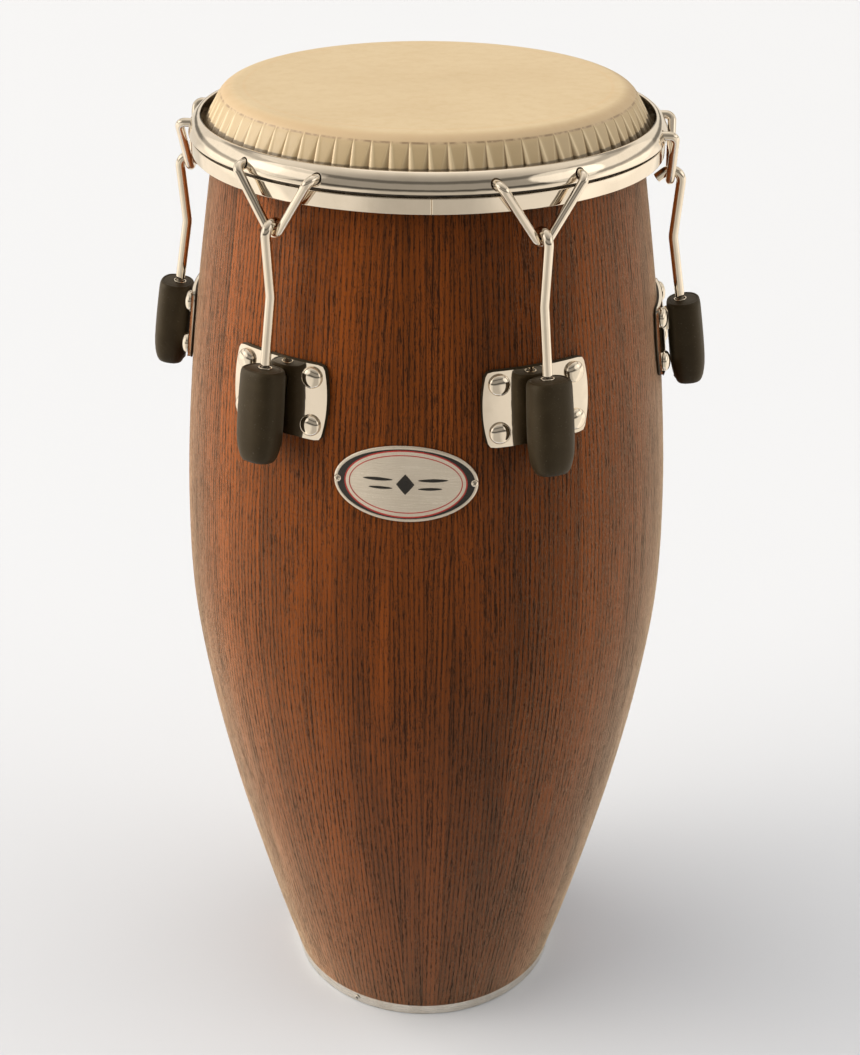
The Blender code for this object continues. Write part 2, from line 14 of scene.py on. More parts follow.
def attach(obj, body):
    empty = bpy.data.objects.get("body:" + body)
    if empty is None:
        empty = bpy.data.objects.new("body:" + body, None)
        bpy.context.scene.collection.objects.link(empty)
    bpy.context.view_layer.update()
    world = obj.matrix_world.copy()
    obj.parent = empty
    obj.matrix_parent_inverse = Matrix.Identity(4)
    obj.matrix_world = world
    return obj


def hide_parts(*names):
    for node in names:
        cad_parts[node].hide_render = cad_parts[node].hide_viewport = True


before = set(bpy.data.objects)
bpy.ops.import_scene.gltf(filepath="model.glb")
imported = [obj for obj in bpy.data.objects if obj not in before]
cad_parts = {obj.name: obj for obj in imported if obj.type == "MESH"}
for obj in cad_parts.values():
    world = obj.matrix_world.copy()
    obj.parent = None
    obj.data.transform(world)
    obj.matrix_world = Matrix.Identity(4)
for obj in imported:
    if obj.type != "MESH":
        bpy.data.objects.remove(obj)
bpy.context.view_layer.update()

MM = 0.001
TAU = 2 * math.pi
rng = np.random.default_rng(7)

# Shell, as in the CAD: height of each station and the outer radius there.
SHELL_STATIONS = (
    (0.0102, 0.1141),
    (0.062, 0.1281),
    (0.134, 0.1455),
    (0.207, 0.1615),
    (0.289, 0.1757),
    (0.372, 0.1847),
    (0.455, 0.1841),
    (0.537, 0.1778),
    (0.620, 0.1675),
    (0.7515, 0.1468),
)
WALL = 0.012
BAND_HEIGHT = 0.0098
BAND_RADIUS = 0.1127
BAND_THICK = 0.0009
BAND_SCREW_ANGLES = (-120, 0, 120)

# Edges of the staves seen from the badge side, in degrees round from -Y. The rest follow at even steps.
FRONT_STAVES = (-39.8, -28.5, -7.6, -0.3, 5.9, 20.4, 36.4)
BACK_STAVES = 19
# How light each of those is, and whereabouts in its trunk it was cut.
FRONT_LOOKS = ((0.62, 0.95), (0.6, 0.08), (0.36, 0.85), (0.48, 0.15), (0.4, 0.9), (0.5, 0.12), (0.6, 0.88))
BEARING_ROWS = 5  # how many rows of the shell's outline, from its top, were left bare

HEAD_TOP = 0.762
HEAD_FLAT_RADIUS = 0.1339
HEAD_ROUNDING = 0.0152
HEAD_THICK = 0.001
COLLAR_SLOPE = math.radians(28.5)
COLLAR_END = 0.7225
PLEATS = 76
PLEAT_START = math.radians(47)  # how far up the rounding the pleats begin
PLEAT_LENGTH = 0.0190

HOOP_BOTTOM = 0.7184
HOOP_TOP = 0.7288
HOOP_RADIUS = 0.1665
HOOP_INNER = 0.1588
HOOP_SHEET = 0.0015
CROWN_LIP_RADIUS = 0.1605
CROWN_LIP_HEIGHT = 0.7441
CROWN_RADIUS = 0.1680
CROWN_BOTTOM = 0.7318
CROWN_BULGE = 1.22
CROWN_LEG = (0.1628, 0.1646)

LUG_ANGLES = tuple(-125 + 60 * number for number in range(6))
LOOP_WIRE = 0.0031
LOOP_HALF_WIDTH = 0.0296
LOOP_PLANE = 0.1718
LOOP_HINGE = Vector((0.1644, 0, 0.7366))
LOOP_END = 0.1590
LOOP_BOTTOM = 0.6980
LOOP_BEND = 0.0067
LOOP_SHOULDER = 0.0045
ROD_RADIUS = 0.0034
THREAD_RADIUS = 0.0029
THREAD_PITCH = 0.00125
ROD_TILT = math.radians(10.3)
ROD_SEAT = Vector((0.1858, 0, 0.6097))
HOOK_CENTRE = Vector((0.1722, 0, 0.6973))
HOOK_RADIUS = 0.0076
HOOK_SWEEP = math.radians(130)
HOOK_TIP = 0.0065
KNEE_ABOVE_SEAT = 0.0479
SHOULDER_ABOVE_SEAT = 0.0018
THREAD_LENGTH = 0.050
PLATE_MIDDLE = 0.5880
PLATE_HALF_HEIGHT = 0.0252
PLATE_HALF_WIDTH = 0.0350
PLATE_BOW = 0.0037
PLATE_THICK = 0.0024
GASKET_THICK = 0.0015
GASKET_MARGIN = 0.0007
GASKET_STANDOFF = 0.0002
BOLT_ACROSS = 0.0277
BOLT_UP = 0.0163
BOLT_HEAD_RADIUS = 0.0074
STRAP_THICK = 0.0020
EAR_TOP = -0.0062
EAR_HEIGHT = 0.0140
EAR_HALF_WIDTH = 0.0065
EAR_REACH = 0.0126
BUSH_RADIUS = 0.0047
ROD_HOLE = 0.0038
NUT_RADIUS = 0.0072
NUT_HEIGHT = 0.0065
NUT_BORE = 0.0031
SLEEVE_LENGTH = 0.0635
SLEEVE_RADIUS = 0.01555
SLEEVE_DEPTH = 0.83
SLEEVE_SQUARENESS = 2.5
SLEEVE_OFFSET = 0.0020
SLEEVE_TILT = math.radians(8.5)
SLEEVE_BORE = 0.0092
BADGE_ANGLE = math.radians(-94.5)
BADGE_HEIGHT = 0.5374
BADGE_HALF_WIDTH = 0.0488
BADGE_HALF_HEIGHT = 0.0268
BADGE_THICK = 0.0008
BADGE_STANDOFF = 0.0006
BADGE_SIDES = 96
PIN_ACROSS = 0.0462
PIN_HEAD = 0.0026

# Camera: where it stands, how it is turned, and its focal length in image heights.
CAMERA_PLACE = Vector((-0.0003, -1.1677, 1.0316))
CAMERA_DOWN = math.radians(28.021)
CAMERA_TURN = math.radians(0.172)
CAMERA_ROLL = math.radians(0.398)
FOCAL_IN_HEIGHTS = 1660.3 / 1055
SENSOR = 36.0


# ---------------------------------------------------------------- shapes


def shell_radius(height):
    """Outer radius of the shell, a cubic curve through its stations."""
    stations = SHELL_STATIONS
    count = len(stations)
    slopes = []
    for index in range(count):
        before = stations[max(index - 1, 0)]
        after = stations[min(index + 1, count - 1)]
        slopes.append((after[1] - before[1]) / (after[0] - before[0]))
    for index in range(count - 1):
        if height <= stations[index + 1][0]:
            break
    (low, start), (high, end) = stations[index], stations[index + 1]
    span = high - low
    t = (height - low) / span
    return (
        start * (2 * t**3 - 3 * t**2 + 1)
        + end * (3 * t**2 - 2 * t**3)
        + slopes[index] * span * (t**3 - 2 * t**2 + t)
        + slopes[index + 1] * span * (t**3 - t**2)
    )


def on_shell(angle, height, offset=0.0):
    """A frame on the shell: X runs round it, Y up it and Z out of it."""
    slope = (shell_radius(height + MM) - shell_radius(height - MM)) / (2 * MM)
    out = Vector((1, 0, -slope)).normalized()
    round_it = Vector((0, 1, 0))
    place = Matrix.Translation(Vector((shell_radius(height), 0, height)) + out * offset)
    place = place @ Matrix((round_it, out.cross(round_it), out)).transposed().to_4x4()
    return Matrix.Rotation(angle, 4, "Z") @ place


def seat_frame(tilt=ROD_TILT):
    """The lower shaft of a hook rod: Z runs up its axis and X points away from the drum."""
    return Matrix.Translation(ROD_SEAT) @ Matrix.Rotation(-tilt, 4, "Y")


def polar(radius, angle, height):
    """The point at this distance from the Z axis, angle round it and height."""
    return radius * math.cos(angle), radius * math.sin(angle), height


def about_z(degrees):
    return Matrix.Rotation(math.radians(degrees), 4, "Z")


def arc(centre, radius, start, end, count):
    angles = [start + (end - start) * index / count for index in range(count + 1)]
    return [(centre[0] + radius * math.cos(a), centre[1] + radius * math.sin(a)) for a in angles]


def smooth(low, high, value):
    t = min(max((value - low) / (high - low), 0), 1)
    return t * t * (3 - 2 * t)


def lattice(columns, rows, around=True, closed=True):
    """Faces of a grid of points, listed column by column, which may close on itself either way."""
    faces = []
    for column in range(columns if around else columns - 1):
        here, beside = column * rows, (column + 1) % columns * rows
        for row in range(rows if closed else rows - 1):
            below = (row + 1) % rows
            faces.append((here + row, here + below, beside + below, beside + row))
    return faces


def finished(mesh, sharp, merge=False):
    """The mesh with its faces turned outward, smooth but for edges sharper than the angle in degrees."""
    bm = bmesh.new()
    bm.from_mesh(mesh)
    if merge:
        bmesh.ops.remove_doubles(bm, verts=bm.verts, dist=1e-7)
    bmesh.ops.recalc_face_normals(bm, faces=bm.faces)
    bm.to_mesh(mesh)
    bm.free()
    mesh.shade_smooth()
    mesh.set_sharp_from_angle(angle=math.radians(sharp))
    return mesh


def make_mesh(name, points, faces, sharp=38):
    mesh = bpy.data.meshes.new(name)
    mesh.from_pydata([tuple(p) for p in points], [], faces)
    mesh.validate()
    return finished(mesh, sharp, merge=True)


def ringed(name, points, count, sharp=38):
    """A solid skinned over rings of count points each, and closed over its first and last ring."""
    rings = len(points) // count
    faces = lattice(rings, count, around=False)
    faces += [tuple(range(count))[::-1], tuple(range((rings - 1) * count, rings * count))]
    return make_mesh(name, points, faces, sharp)


def store_vectors(mesh, name, domain, values):
    layer = mesh.attributes.new(name, "FLOAT_VECTOR", domain)
    layer.data.foreach_set("vector", np.array(values, np.float32).ravel())


def rounded(outline, radius, count=3, closed=True):
    """The outline with each of its corners cut back and rounded by up to the radius."""
    points = [Vector(p) for p in outline]
    total = len(points)
    result = []
    for index, corner in enumerate(points):
        if not closed and index in (0, total - 1):
            result.append(tuple(corner))
            continue
        before = points[index - 1] - corner
        after = points[(index + 1) % total] - corner
        turn = before.angle(after, math.pi)
        if turn > math.radians(165):
            result.append(tuple(corner))
            continue
        cut = min(radius, 0.45 * before.length, 0.45 * after.length)
        start = corner + before.normalized() * cut
        end = corner + after.normalized() * cut
        for step in range(count + 1):
            t = step / count
            result.append(tuple(start * (1 - t) ** 2 + corner * 2 * t * (1 - t) + end * t**2))
    return result


def turned(name, outline, columns=192, closed=True, sharp=38, angles=None, push=None):
    """A turned mesh. push(angle, radius) moves a point outward."""
    points = []
    for angle in angles or [TAU * index / columns for index in range(columns)]:
        for radius, height in outline:
            points.append(polar(radius + push(angle, radius) if push else radius, angle, height))
    return make_mesh(name, points, lattice(len(points) // len(outline), len(outline), closed=closed), sharp)


def tube(name, path, radii, sides, sharp=50):
    """A wire swept along the path. Each entry of radii is a radius or one radius for each side."""
    path = [Vector(p) for p in path]
    total = len(path)
    points = []
    normal = None
    for index, (point, radius) in enumerate(zip(path, radii)):
        along = (path[min(index + 1, total - 1)] - path[max(index - 1, 0)]).normalized()
        if normal is None:
            normal = along.orthogonal().normalized()
        normal = (normal - along * normal.dot(along)).normalized()
        across = along.cross(normal)
        for side in range(sides):
            turn = TAU * side / sides
            reach = radius[side] if hasattr(radius, "__len__") else radius
            points.append(point + (normal * math.cos(turn) + across * math.sin(turn)) * reach)
    return ringed(name, points, sides, sharp)


def joined(name, pieces):
    """One mesh of several (mesh, matrix) pairs, with their sharp edges kept."""
    bm = bmesh.new()
    for mesh, matrix in pieces:
        before = len(bm.verts)
        bm.from_mesh(mesh)
        bm.verts.ensure_lookup_table()
        bmesh.ops.transform(bm, matrix=matrix, verts=bm.verts[before:])
    mesh = bpy.data.meshes.new(name)
    bm.to_mesh(mesh)
    bm.free()
    return mesh


def carved(mesh, cutters, sharp=38):
    """The mesh with the cutters' shapes taken out."""
    body = bpy.data.objects.new(mesh.name, mesh)
    tool = bpy.data.objects.new("tool", joined("tool", cutters))
    for obj in (body, tool):
        bpy.context.scene.collection.objects.link(obj)
    cut = body.modifiers.new("cut", "BOOLEAN")
    cut.operation = "DIFFERENCE"
    cut.solver = "EXACT"
    cut.object = tool
    graph = bpy.context.evaluated_depsgraph_get()
    result = bpy.data.meshes.new_from_object(body.evaluated_get(graph))
    for obj in (body, tool):
        bpy.data.objects.remove(obj, do_unlink=True)
    result.shade_smooth()
    result.set_sharp_from_angle(angle=math.radians(sharp))
    return result


def rod_mesh(radius, low, high, sides=24):
    """A plain round bar along Z, as a cutter."""
    return turned("bar", [(0, high), (radius, high), (radius, low), (0, low)], sides, closed=False)


def block_mesh(low, high):
    bm = bmesh.new()
    size = Vector(high) - Vector(low)
    place = Matrix.Translation((Vector(low) + Vector(high)) / 2) @ Matrix.Diagonal((*size, 1))
    bmesh.ops.create_cube(bm, size=1, matrix=place)
    mesh = bpy.data.meshes.new("block")
    bm.to_mesh(mesh)
    bm.free()
    return mesh


def place(name, mesh, materials, body, stands_for=(), slot=None, matrix=None, painted=None):
    """Puts a piece of the drum in the scene, on its CAD body. painted gives each face its material."""
    obj = bpy.data.objects.new(name, mesh)
    bpy.context.scene.collection.objects.link(obj)
    mesh.materials.clear()
    for material in materials if isinstance(materials, (list, tuple)) else [materials]:
        mesh.materials.append(material)
    if painted:
        mesh.polygons.foreach_set("material_index", painted)
    if matrix is not None:
        mesh.transform(matrix)
    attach(obj, body)
    if stands_for:
        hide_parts(*stands_for)


# ---------------------------------------------------------------- materials


class Graph:
    """The nodes of a material or of the world, in the making."""

    def __init__(self, owner, shader="Principled BSDF", coords="Object"):
        self.owner = owner
        owner.use_nodes = True
        self.tree = owner.node_tree
        self.shader = self.tree.nodes[shader]
        self.coords = self.node("ShaderNodeTexCoord").outputs[coords]

    def node(self, kind, inputs=(), **settings):
        """A new node, with its settings, and a value or a socket for each named or numbered input."""
        made = self.tree.nodes.new(kind)
        for key, value in settings.items():
            setattr(made, key, value)
        for key, value in dict(inputs).items():
            self.plug(made.inputs[key], value)
        return made

    def plug(self, socket, value):
        if isinstance(value, bpy.types.NodeSocket):
            self.tree.links.new(value, socket)
        elif isinstance(value, tuple) and len(value) == 3 and socket.type == "RGBA":
            socket.default_value = (*value, 1)
        else:
            socket.default_value = value

    def math(self, operation, a, b=0.0, clamp=False):
        return self.node("ShaderNodeMath", {0: a, 1: b}, operation=operation, use_clamp=clamp).outputs[0]

    def add(self, first, *others):
        for other in others:
            first = self.math("ADD", first, other)
        return first

    def times(self, first, *others):
        for other in others:
            first = self.math("MULTIPLY", first, other)
        return first

    def length(self, x, y):
        return self.math("SQRT", self.add(self.times(x, x), self.times(y, y)))

    def step(self, value, low, high, start=0.0, end=1.0):
        """A smooth step from start to end as the value goes from low to high."""
        inputs = {"Value": value, "From Min": low, "From Max": high, "To Min": start, "To Max": end}
        return self.node("ShaderNodeMapRange", inputs, interpolation_type="SMOOTHSTEP").outputs["Result"]

    def mix(self, factor, a, b, blend="MIX"):
        inputs = {0: factor, 6: a, 7: b}
        return self.node("ShaderNodeMix", inputs, data_type="RGBA", blend_type=blend).outputs[2]

    def scaled(self, vector, scale):
        return self.node("ShaderNodeMapping", {"Vector": vector, "Scale": scale}).outputs[0]

    def noise(self, vector, scale, detail=2.0, roughness=0.5, distortion=0.0):
        inputs = {"Vector": vector, "Scale": scale, "Detail": detail, "Roughness": roughness}
        return self.node("ShaderNodeTexNoise", {**inputs, "Distortion": distortion}).outputs["Fac"]

    def split(self, vector):
        return self.node("ShaderNodeSeparateXYZ", {0: vector}).outputs

    def join(self, x, y, z):
        return self.node("ShaderNodeCombineXYZ", {0: x, 1: y, 2: z}).outputs[0]

    def grey(self, value):
        return self.join(value, value, value)

    def attribute(self, name):
        return self.split(self.node("ShaderNodeAttribute", attribute_name=name).outputs["Vector"])

    def bump(self, height, distance, strength):
        inputs = {"Height": height, "Distance": distance, "Strength": strength}
        return self.node("ShaderNodeBump", inputs).outputs[0]

    def set(self, **values):
        for key, value in values.items():
            self.plug(self.shader.inputs[key.replace("_", " ")], value)
        return self.owner


def wood_material(name, light, dark, pore, rough, relief, sheen):
    """Open-pored oak. The mesh gives (across, along, seed) as grain and (edge, tone, cut) as stave."""
    g = Graph(bpy.data.materials.new(name))
    across, along, seed = g.attribute("grain")
    edge, tone, cut = g.attribute("stave")
    far = g.times(seed, 37.0)

    def streaks(per_metre_across, per_metre_along, detail=2, roughness=0.5, start=across):
        cells = g.join(g.times(start, per_metre_across), g.times(along, per_metre_along), far)
        return g.noise(cells, 1, detail, roughness)

    # Growth rings: slices through a trunk whose middle lies to one side of the stave.
    aside = g.add(across, g.times(g.add(cut, -0.5), 0.5))
    depth = g.add(g.times(along, 0.04), g.times(streaks(7, 2.4, 3), 0.05))
    reach = g.add(g.length(aside, depth), g.times(streaks(75, 16), 0.0022))
    ring = g.math("FRACT", g.math("DIVIDE", reach, 0.0036))
    early = g.times(g.step(ring, 0.0, 0.14), g.step(ring, 0.60, 0.30))

    # Pores: open vessels, which crowd into lines that waver along the stave.
    bent = g.add(across, g.times(g.add(streaks(40, 9), -0.5), 0.0040))
    dashes = streaks(1900, 95, 2, 0.65, bent)
    specks = streaks(2700, 460, 1, 0.5, bent)
    crowd = streaks(620, 10, 2, 0.6, bent)
    fibres = streaks(820, 8, 3, 0.65, bent)
    cloud = streaks(26, 4, 3)
    patch = streaks(90, 14)
    ready = g.add(g.times(early, 0.10), g.times(patch, 0.18), g.times(crowd, 0.30), -0.283)
    small = g.times(g.step(g.add(specks, ready), 0.565, 0.64), 0.8)
    pores = g.math("MAXIMUM", g.step(g.add(dashes, ready), 0.53, 0.61), small)
    shade = g.add(g.times(early, 0.26), g.times(g.step(fibres, 0.32, 0.72), 0.40))
    shade = g.math("ADD", shade, g.times(g.add(cloud, -0.42), 1.5), clamp=True)
    bright = g.grey(g.step(tone, 0.0, 1.0, 0.62, 1.30))
    colour = g.mix(1.0, g.mix(shade, light, dark), bright, "MULTIPLY")
    seam = g.step(edge, 0.0002, 0.0007, 0.4, 0.0)
    colour = g.mix(g.math("MAXIMUM", g.times(pores, 0.82), seam), colour, pore)
    normal = g.bump(g.math("SUBTRACT", g.times(fibres, 0.25), pores), relief, 0.8)
    roughness = g.add(g.times(pores, 0.20), g.times(cloud, 0.10), rough - 0.05)
    gloss = g.times(g.math("SUBTRACT", 1.0, g.times(pores, 0.6)), sheen)
    g.set(Sheen_Weight=gloss, Sheen_Roughness=0.32, Sheen_Tint=(1.0, 0.80, 0.54))
    g.set(Specular_Tint=(1.0, 0.84, 0.64), IOR=1.21)
    return g.set(Base_Color=colour, Roughness=roughness, Normal=normal)


def film_material():
    """Tan synthetic skin, with painted shade and painted highlights on its turn and pleats. The mesh gives
    (valley, ridge, down) of each pleat as fold.
    """
    g = Graph(bpy.data.materials.new("head_film_detailed"))
    valley, ridge, down = g.attribute("fold")
    x, y, height = g.split(g.coords)
    out = g.length(x, y)
    cloud = g.noise(g.coords, 14, 4, 0.55)
    mottle = g.noise(g.coords, 120, 3, 0.6)
    fibre = g.noise(g.scaled(g.coords, (60, 700, 60)), 1, 3, 0.6, 0.4)
    fine = g.noise(g.coords, 1400, 3, 0.6)
    panel = g.math("SUBTRACT", 1.0, g.math("MAXIMUM", valley, ridge), clamp=True)
    panel_top_shadow = g.times(g.step(down, -0.03, 0.01), g.step(down, 0.10, 0.03), g.step(mottle, 0.35, 0.6))
    # What is laid over the film's own colour: where, how strongly, and its colour.
    layers = (
        (g.step(mottle, 0.45, 0.75), 0.22, (0.415, 0.310, 0.181)),
        (g.step(fibre, 0.5, 0.75), 0.16, (0.535, 0.430, 0.284)),
        # A faint track over the bearing edge, then painted shade on the turn of the film above its pleats.
        (g.times(g.step(out, 0.1262, 0.1276), g.step(out, 0.1300, 0.1284)), 0.30, (0.47, 0.325, 0.18)),
        (g.times(g.step(out, 0.1345, 0.1415), g.step(down, 0.15, 0.0)), 0.55, (0.385, 0.268, 0.152)),
        # The collar, painted darker as shade; a broken line of painted shadow along the top of each panel;
        # painted shade in the valleys and painted highlights on the ridges.
        (g.step(down, 0.0, 0.12), 0.80, (0.345, 0.257, 0.138)),
        (g.times(panel_top_shadow, panel), 0.72, (0.17, 0.11, 0.06)),
        (g.times(valley, g.step(down, -0.02, 0.2)), 0.42, (0.20, 0.13, 0.07)),
        (g.times(ridge, g.step(down, 0.0, 0.25)), 0.66, (0.620, 0.505, 0.335)),
        # Painted shade where the film goes down inside the crown.
        (g.step(height, CROWN_LIP_HEIGHT - 0.0002, CROWN_LIP_HEIGHT - 0.0011), 0.80, (0.085, 0.058, 0.032)),
    )
    colour = g.mix(g.step(cloud, 0.3, 0.7), (0.472, 0.375, 0.236), (0.447, 0.348, 0.213))
    for mask, share, tint in layers:
        colour = g.mix(g.times(mask, share), colour, tint)
    relief = g.bump(g.add(g.times(fine, 0.6), g.times(mottle, 0.8)), 0.00012, 0.45)
    return g.set(Base_Color=colour, Roughness=g.step(mottle, 0.2, 0.8, 0.42, 0.56), Normal=relief, IOR=1.45)


def chrome_material():
    """Polished plating, with faint wiping marks and a slight waviness."""
    g = Graph(bpy.data.materials.new("chrome_detailed"))
    wave = g.noise(g.coords, 55)
    wipe = g.noise(g.scaled(g.coords, (260, 260, 900)), 1, 3, 0.65)
    smear = g.noise(g.coords, 38, 4, 0.6)
    colour = g.mix(g.step(smear, 0.35, 0.75), (0.84, 0.775, 0.685), (0.78, 0.715, 0.620))
    roughness = g.add(g.step(smear, 0.45, 0.8, 0.03, 0.075), g.times(wipe, 0.03))
    normal = g.bump(g.add(wave, g.times(wipe, 0.03)), 0.00035, 0.5)
    return g.set(Base_Color=colour, Metallic=1.0, Roughness=roughness, Normal=normal)


def steel_material(name, light, dark):
    """Plain steel with fine scratches round it."""
    g = Graph(bpy.data.materials.new(name))
    scratch = g.noise(g.scaled(g.coords, (90, 90, 3200)), 1, 4, 0.7)
    stain = g.noise(g.coords, 60, 4, 0.6)
    colour = g.mix(g.step(stain, 0.35, 0.75), light, dark)
    roughness = g.add(g.step(scratch, 0.3, 0.8, 0.16, 0.34), g.times(stain, 0.08))
    return g.set(Base_Color=colour, Metallic=1.0, Roughness=roughness, Normal=g.bump(scratch, 0.00005, 0.5))


def nickel_material():
    """Satin badge metal, brushed along its length."""
    g = Graph(bpy.data.materials.new("badge_nickel_detailed"))
    brushed = g.noise(g.scaled(g.coords, (40, 40, 2600)), 1, 4, 0.7)
    cloud = g.noise(g.coords, 45, 3, 0.55)
    colour = g.mix(g.step(brushed, 0.3, 0.75), (0.80, 0.74, 0.65), (0.66, 0.60, 0.52))
    colour = g.mix(g.times(g.step(cloud, 0.4, 0.7), 0.25), colour, (0.58, 0.52, 0.44))
    roughness = g.step(brushed, 0.25, 0.8, 0.24, 0.42)
    return g.set(Base_Color=colour, Metallic=0.85, Roughness=roughness, Normal=g.bump(brushed, 0.00004, 0.5))


def rubber_material():
    """Moulded black rubber, faintly dusty, with a fine grain."""
    g = Graph(bpy.data.materials.new("black_rubber_detailed"))
    grain = g.noise(g.coords, 1500, 3, 0.6)
    dust = g.noise(g.coords, 85, 5, 0.65)
    speck = g.noise(g.coords, 900, 1)
    colour = g.mix(g.step(dust, 0.35, 0.8), (0.0175, 0.0118, 0.0050), (0.0270, 0.0190, 0.0092))
    colour = g.mix(g.times(g.step(speck, 0.70, 0.76), 0.5), colour, (0.10, 0.085, 0.07))
    normal = g.bump(g.add(grain, g.times(dust, 0.8)), 0.00007, 0.6)
    g.set(Base_Color=colour, Roughness=g.step(dust, 0.2, 0.8, 0.42, 0.58), Normal=normal)
    return g.set(IOR=1.36, Specular_Tint=(1.0, 0.86, 0.66))


def groove_material():
    """The edge between crown and hoop, painted dark as the shade in the gap, and blotched."""
    g = Graph(bpy.data.materials.new("groove_painted_shade"))
    shade_blotch = g.noise(g.coords, 140, 4, 0.65)
    normal = g.bump(g.noise(g.coords, 900, 3, 0.6), 0.0001, 0.6)
    colour = g.mix(g.step(shade_blotch, 0.35, 0.7), (0.085, 0.068, 0.050), (0.028, 0.022, 0.017))
    roughness = g.step(shade_blotch, 0.3, 0.7, 0.42, 0.62)
    return g.set(Base_Color=colour, Metallic=0.4, Roughness=roughness, Normal=normal)


def enamel_material(name, light, dark):
    g = Graph(bpy.data.materials.new(name))
    cloud = g.noise(g.coords, 160, 4, 0.6)
    normal = g.bump(g.noise(g.coords, 1800), 0.00003, 0.5)
    colour = g.mix(g.step(cloud, 0.3, 0.7), light, dark)
    return g.set(Base_Color=colour, Roughness=g.step(cloud, 0.3, 0.7, 0.22, 0.36), Normal=normal)


def floor_material():
    g = Graph(bpy.data.materials.new("studio_floor"))
    colour = g.mix(g.noise(g.coords, 1.5, 3), (0.532, 0.564, 0.626), (0.526, 0.558, 0.620))
    normal = g.bump(g.noise(g.coords, 260, 3, 0.6), 0.0002, 0.15)
    return g.set(Base_Color=colour, Roughness=0.9, Normal=normal)


STAIN = ((0.198, 0.0465, 0.0052), (0.058, 0.0142, 0.0022), (0.008, 0.0038, 0.0016))
BARE = ((0.50, 0.335, 0.185), (0.36, 0.225, 0.115), (0.17, 0.095, 0.045))
stained = wood_material("stained_oak_detailed", *STAIN, rough=0.42, relief=0.00014, sheen=1.0)
bare = wood_material("bare_oak_detailed", *BARE, rough=0.66, relief=0.00024, sheen=0.10)
film = film_material()
chrome = chrome_material()
steel = steel_material("plain_steel_detailed", (0.80, 0.75, 0.67), (0.66, 0.60, 0.52))
# Dark steel: oil on the rods' threads with painted shade over it, and painted shade in the slots of the
# screws and pins.
oiled_steel_and_shade = steel_material("oiled_steel_and_shade", (0.22, 0.195, 0.16), (0.11, 0.095, 0.08))
nickel = nickel_material()
rubber = rubber_material()
groove = groove_material()
red_enamel = enamel_material("red_enamel", (0.42, 0.030, 0.022), (0.30, 0.022, 0.018))
black_enamel = enamel_material("black_enamel", (0.012, 0.010, 0.008), (0.007, 0.006, 0.005))


# ---------------------------------------------------------------- shell and band


def stave_edges():
    """Angles of the joints between staves, in degrees from +X, rising through one turn."""
    first, last = FRONT_STAVES[0], FRONT_STAVES[-1]
    span = 360 - (last - first)
    widths = rng.uniform(0.62, 1.38, BACK_STAVES)
    widths *= span / widths.sum()
    edges = list(FRONT_STAVES)
    for width in widths[:-1]:
        edges.append(edges[-1] + width)
    return [edge - 90 for edge in edges]


def shell_outline():
    """Points down the outside of the shell, over its foot and up its inside to the bearing edge."""
    centre = (HEAD_FLAT_RADIUS, HEAD_TOP - HEAD_ROUNDING)
    edge = HEAD_ROUNDING - HEAD_THICK - 0.0004
    outer = arc(centre, edge, math.pi / 2, math.radians(38), 6)
    heights = np.concatenate([np.linspace(0.7500, 0.0122, 62), [0.0108, 0.0103]])
    outer += [(shell_radius(h) - (0.0002 if h < 0.0105 else 0), h) for h in heights]
    rebate = BAND_RADIUS - BAND_THICK - 0.0002
    foot = [(rebate, 0.0102), (rebate, 0.0006), (rebate - 0.0006, 0), (rebate - WALL + 0.0016, 0)]
    foot.append((rebate - WALL + 0.001, 0.0006))
    inner = [(shell_radius(h) - WALL, h) for h in np.linspace(0.012, 0.742, 44)]
    inner.append((HEAD_FLAT_RADIUS - 0.0004, HEAD_TOP - 0.006))
    return outer, foot, inner


def make_shell():
    """The barrel. Each stave carries its own grain, so its corners hold the grain's coordinates."""
    outer, foot, inner = shell_outline()
    outline = outer + foot + inner
    rows = len(outline)
    edges = stave_edges()
    edges.append(edges[0] + 360)
    tones = rng.uniform(0.15, 0.85, len(edges))
    cuts = rng.uniform(0.0, 1.0, len(edges))
    seeds = rng.uniform(0.0, 9.0, len(edges))
    tones[: len(FRONT_LOOKS)], cuts[: len(FRONT_LOOKS)] = zip(*FRONT_LOOKS)
    columns = []
    for index, (low, high) in enumerate(zip(edges, edges[1:])):
        count = max(3, round((high - low) / 1.3))
        columns += [(low + (high - low) * step / count, index) for step in range(count)]
    points = [polar(radius, math.radians(turn), height) for turn, _ in columns for radius, height in outline]
    ends = [angle for angle, _ in columns[1:]] + [edges[-1]]
    grain, stave = [], []
    for (angle, index), end in zip(columns, ends):
        low, high = edges[index], edges[index + 1]
        for row in range(rows):
            below = (row + 1) % rows
            for turn, point in ((angle, row), (angle, below), (end, below), (end, row)):
                radius, height = outline[point]
                grain.append((math.radians(turn - (low + high) / 2) * radius, height, seeds[index]))
                stave.append((math.radians(min(turn - low, high - turn)) * radius, tones[index], cuts[index]))
    faces = lattice(len(columns), rows)
    mesh = bpy.data.meshes.new("barrel_shell")
    mesh.from_pydata(points, [], faces)
    store_vectors(mesh, "grain", "CORNER", grain)
    store_vectors(mesh, "stave", "CORNER", stave)
    mesh.flip_normals()
    mesh.shade_smooth()
    mesh.set_sharp_from_angle(angle=math.radians(40))
    unstained = set(range(len(outer) + 2, rows)) | set(range(BEARING_ROWS))
    painted = [int(face % rows in unstained) for face in range(len(faces))]
    place("barrel_shell", mesh, [stained, bare], "drum_body", ["shell"], "stained_ash", painted=painted)


def cross_slots(reach, width, low, high):
    """Two cutters that cross on the axis of a screw."""
    sizes = ((reach, width), (width, reach))
    return [(block_mesh((-x, -y, low), (x, y, high)), Matrix()) for x, y in sizes]


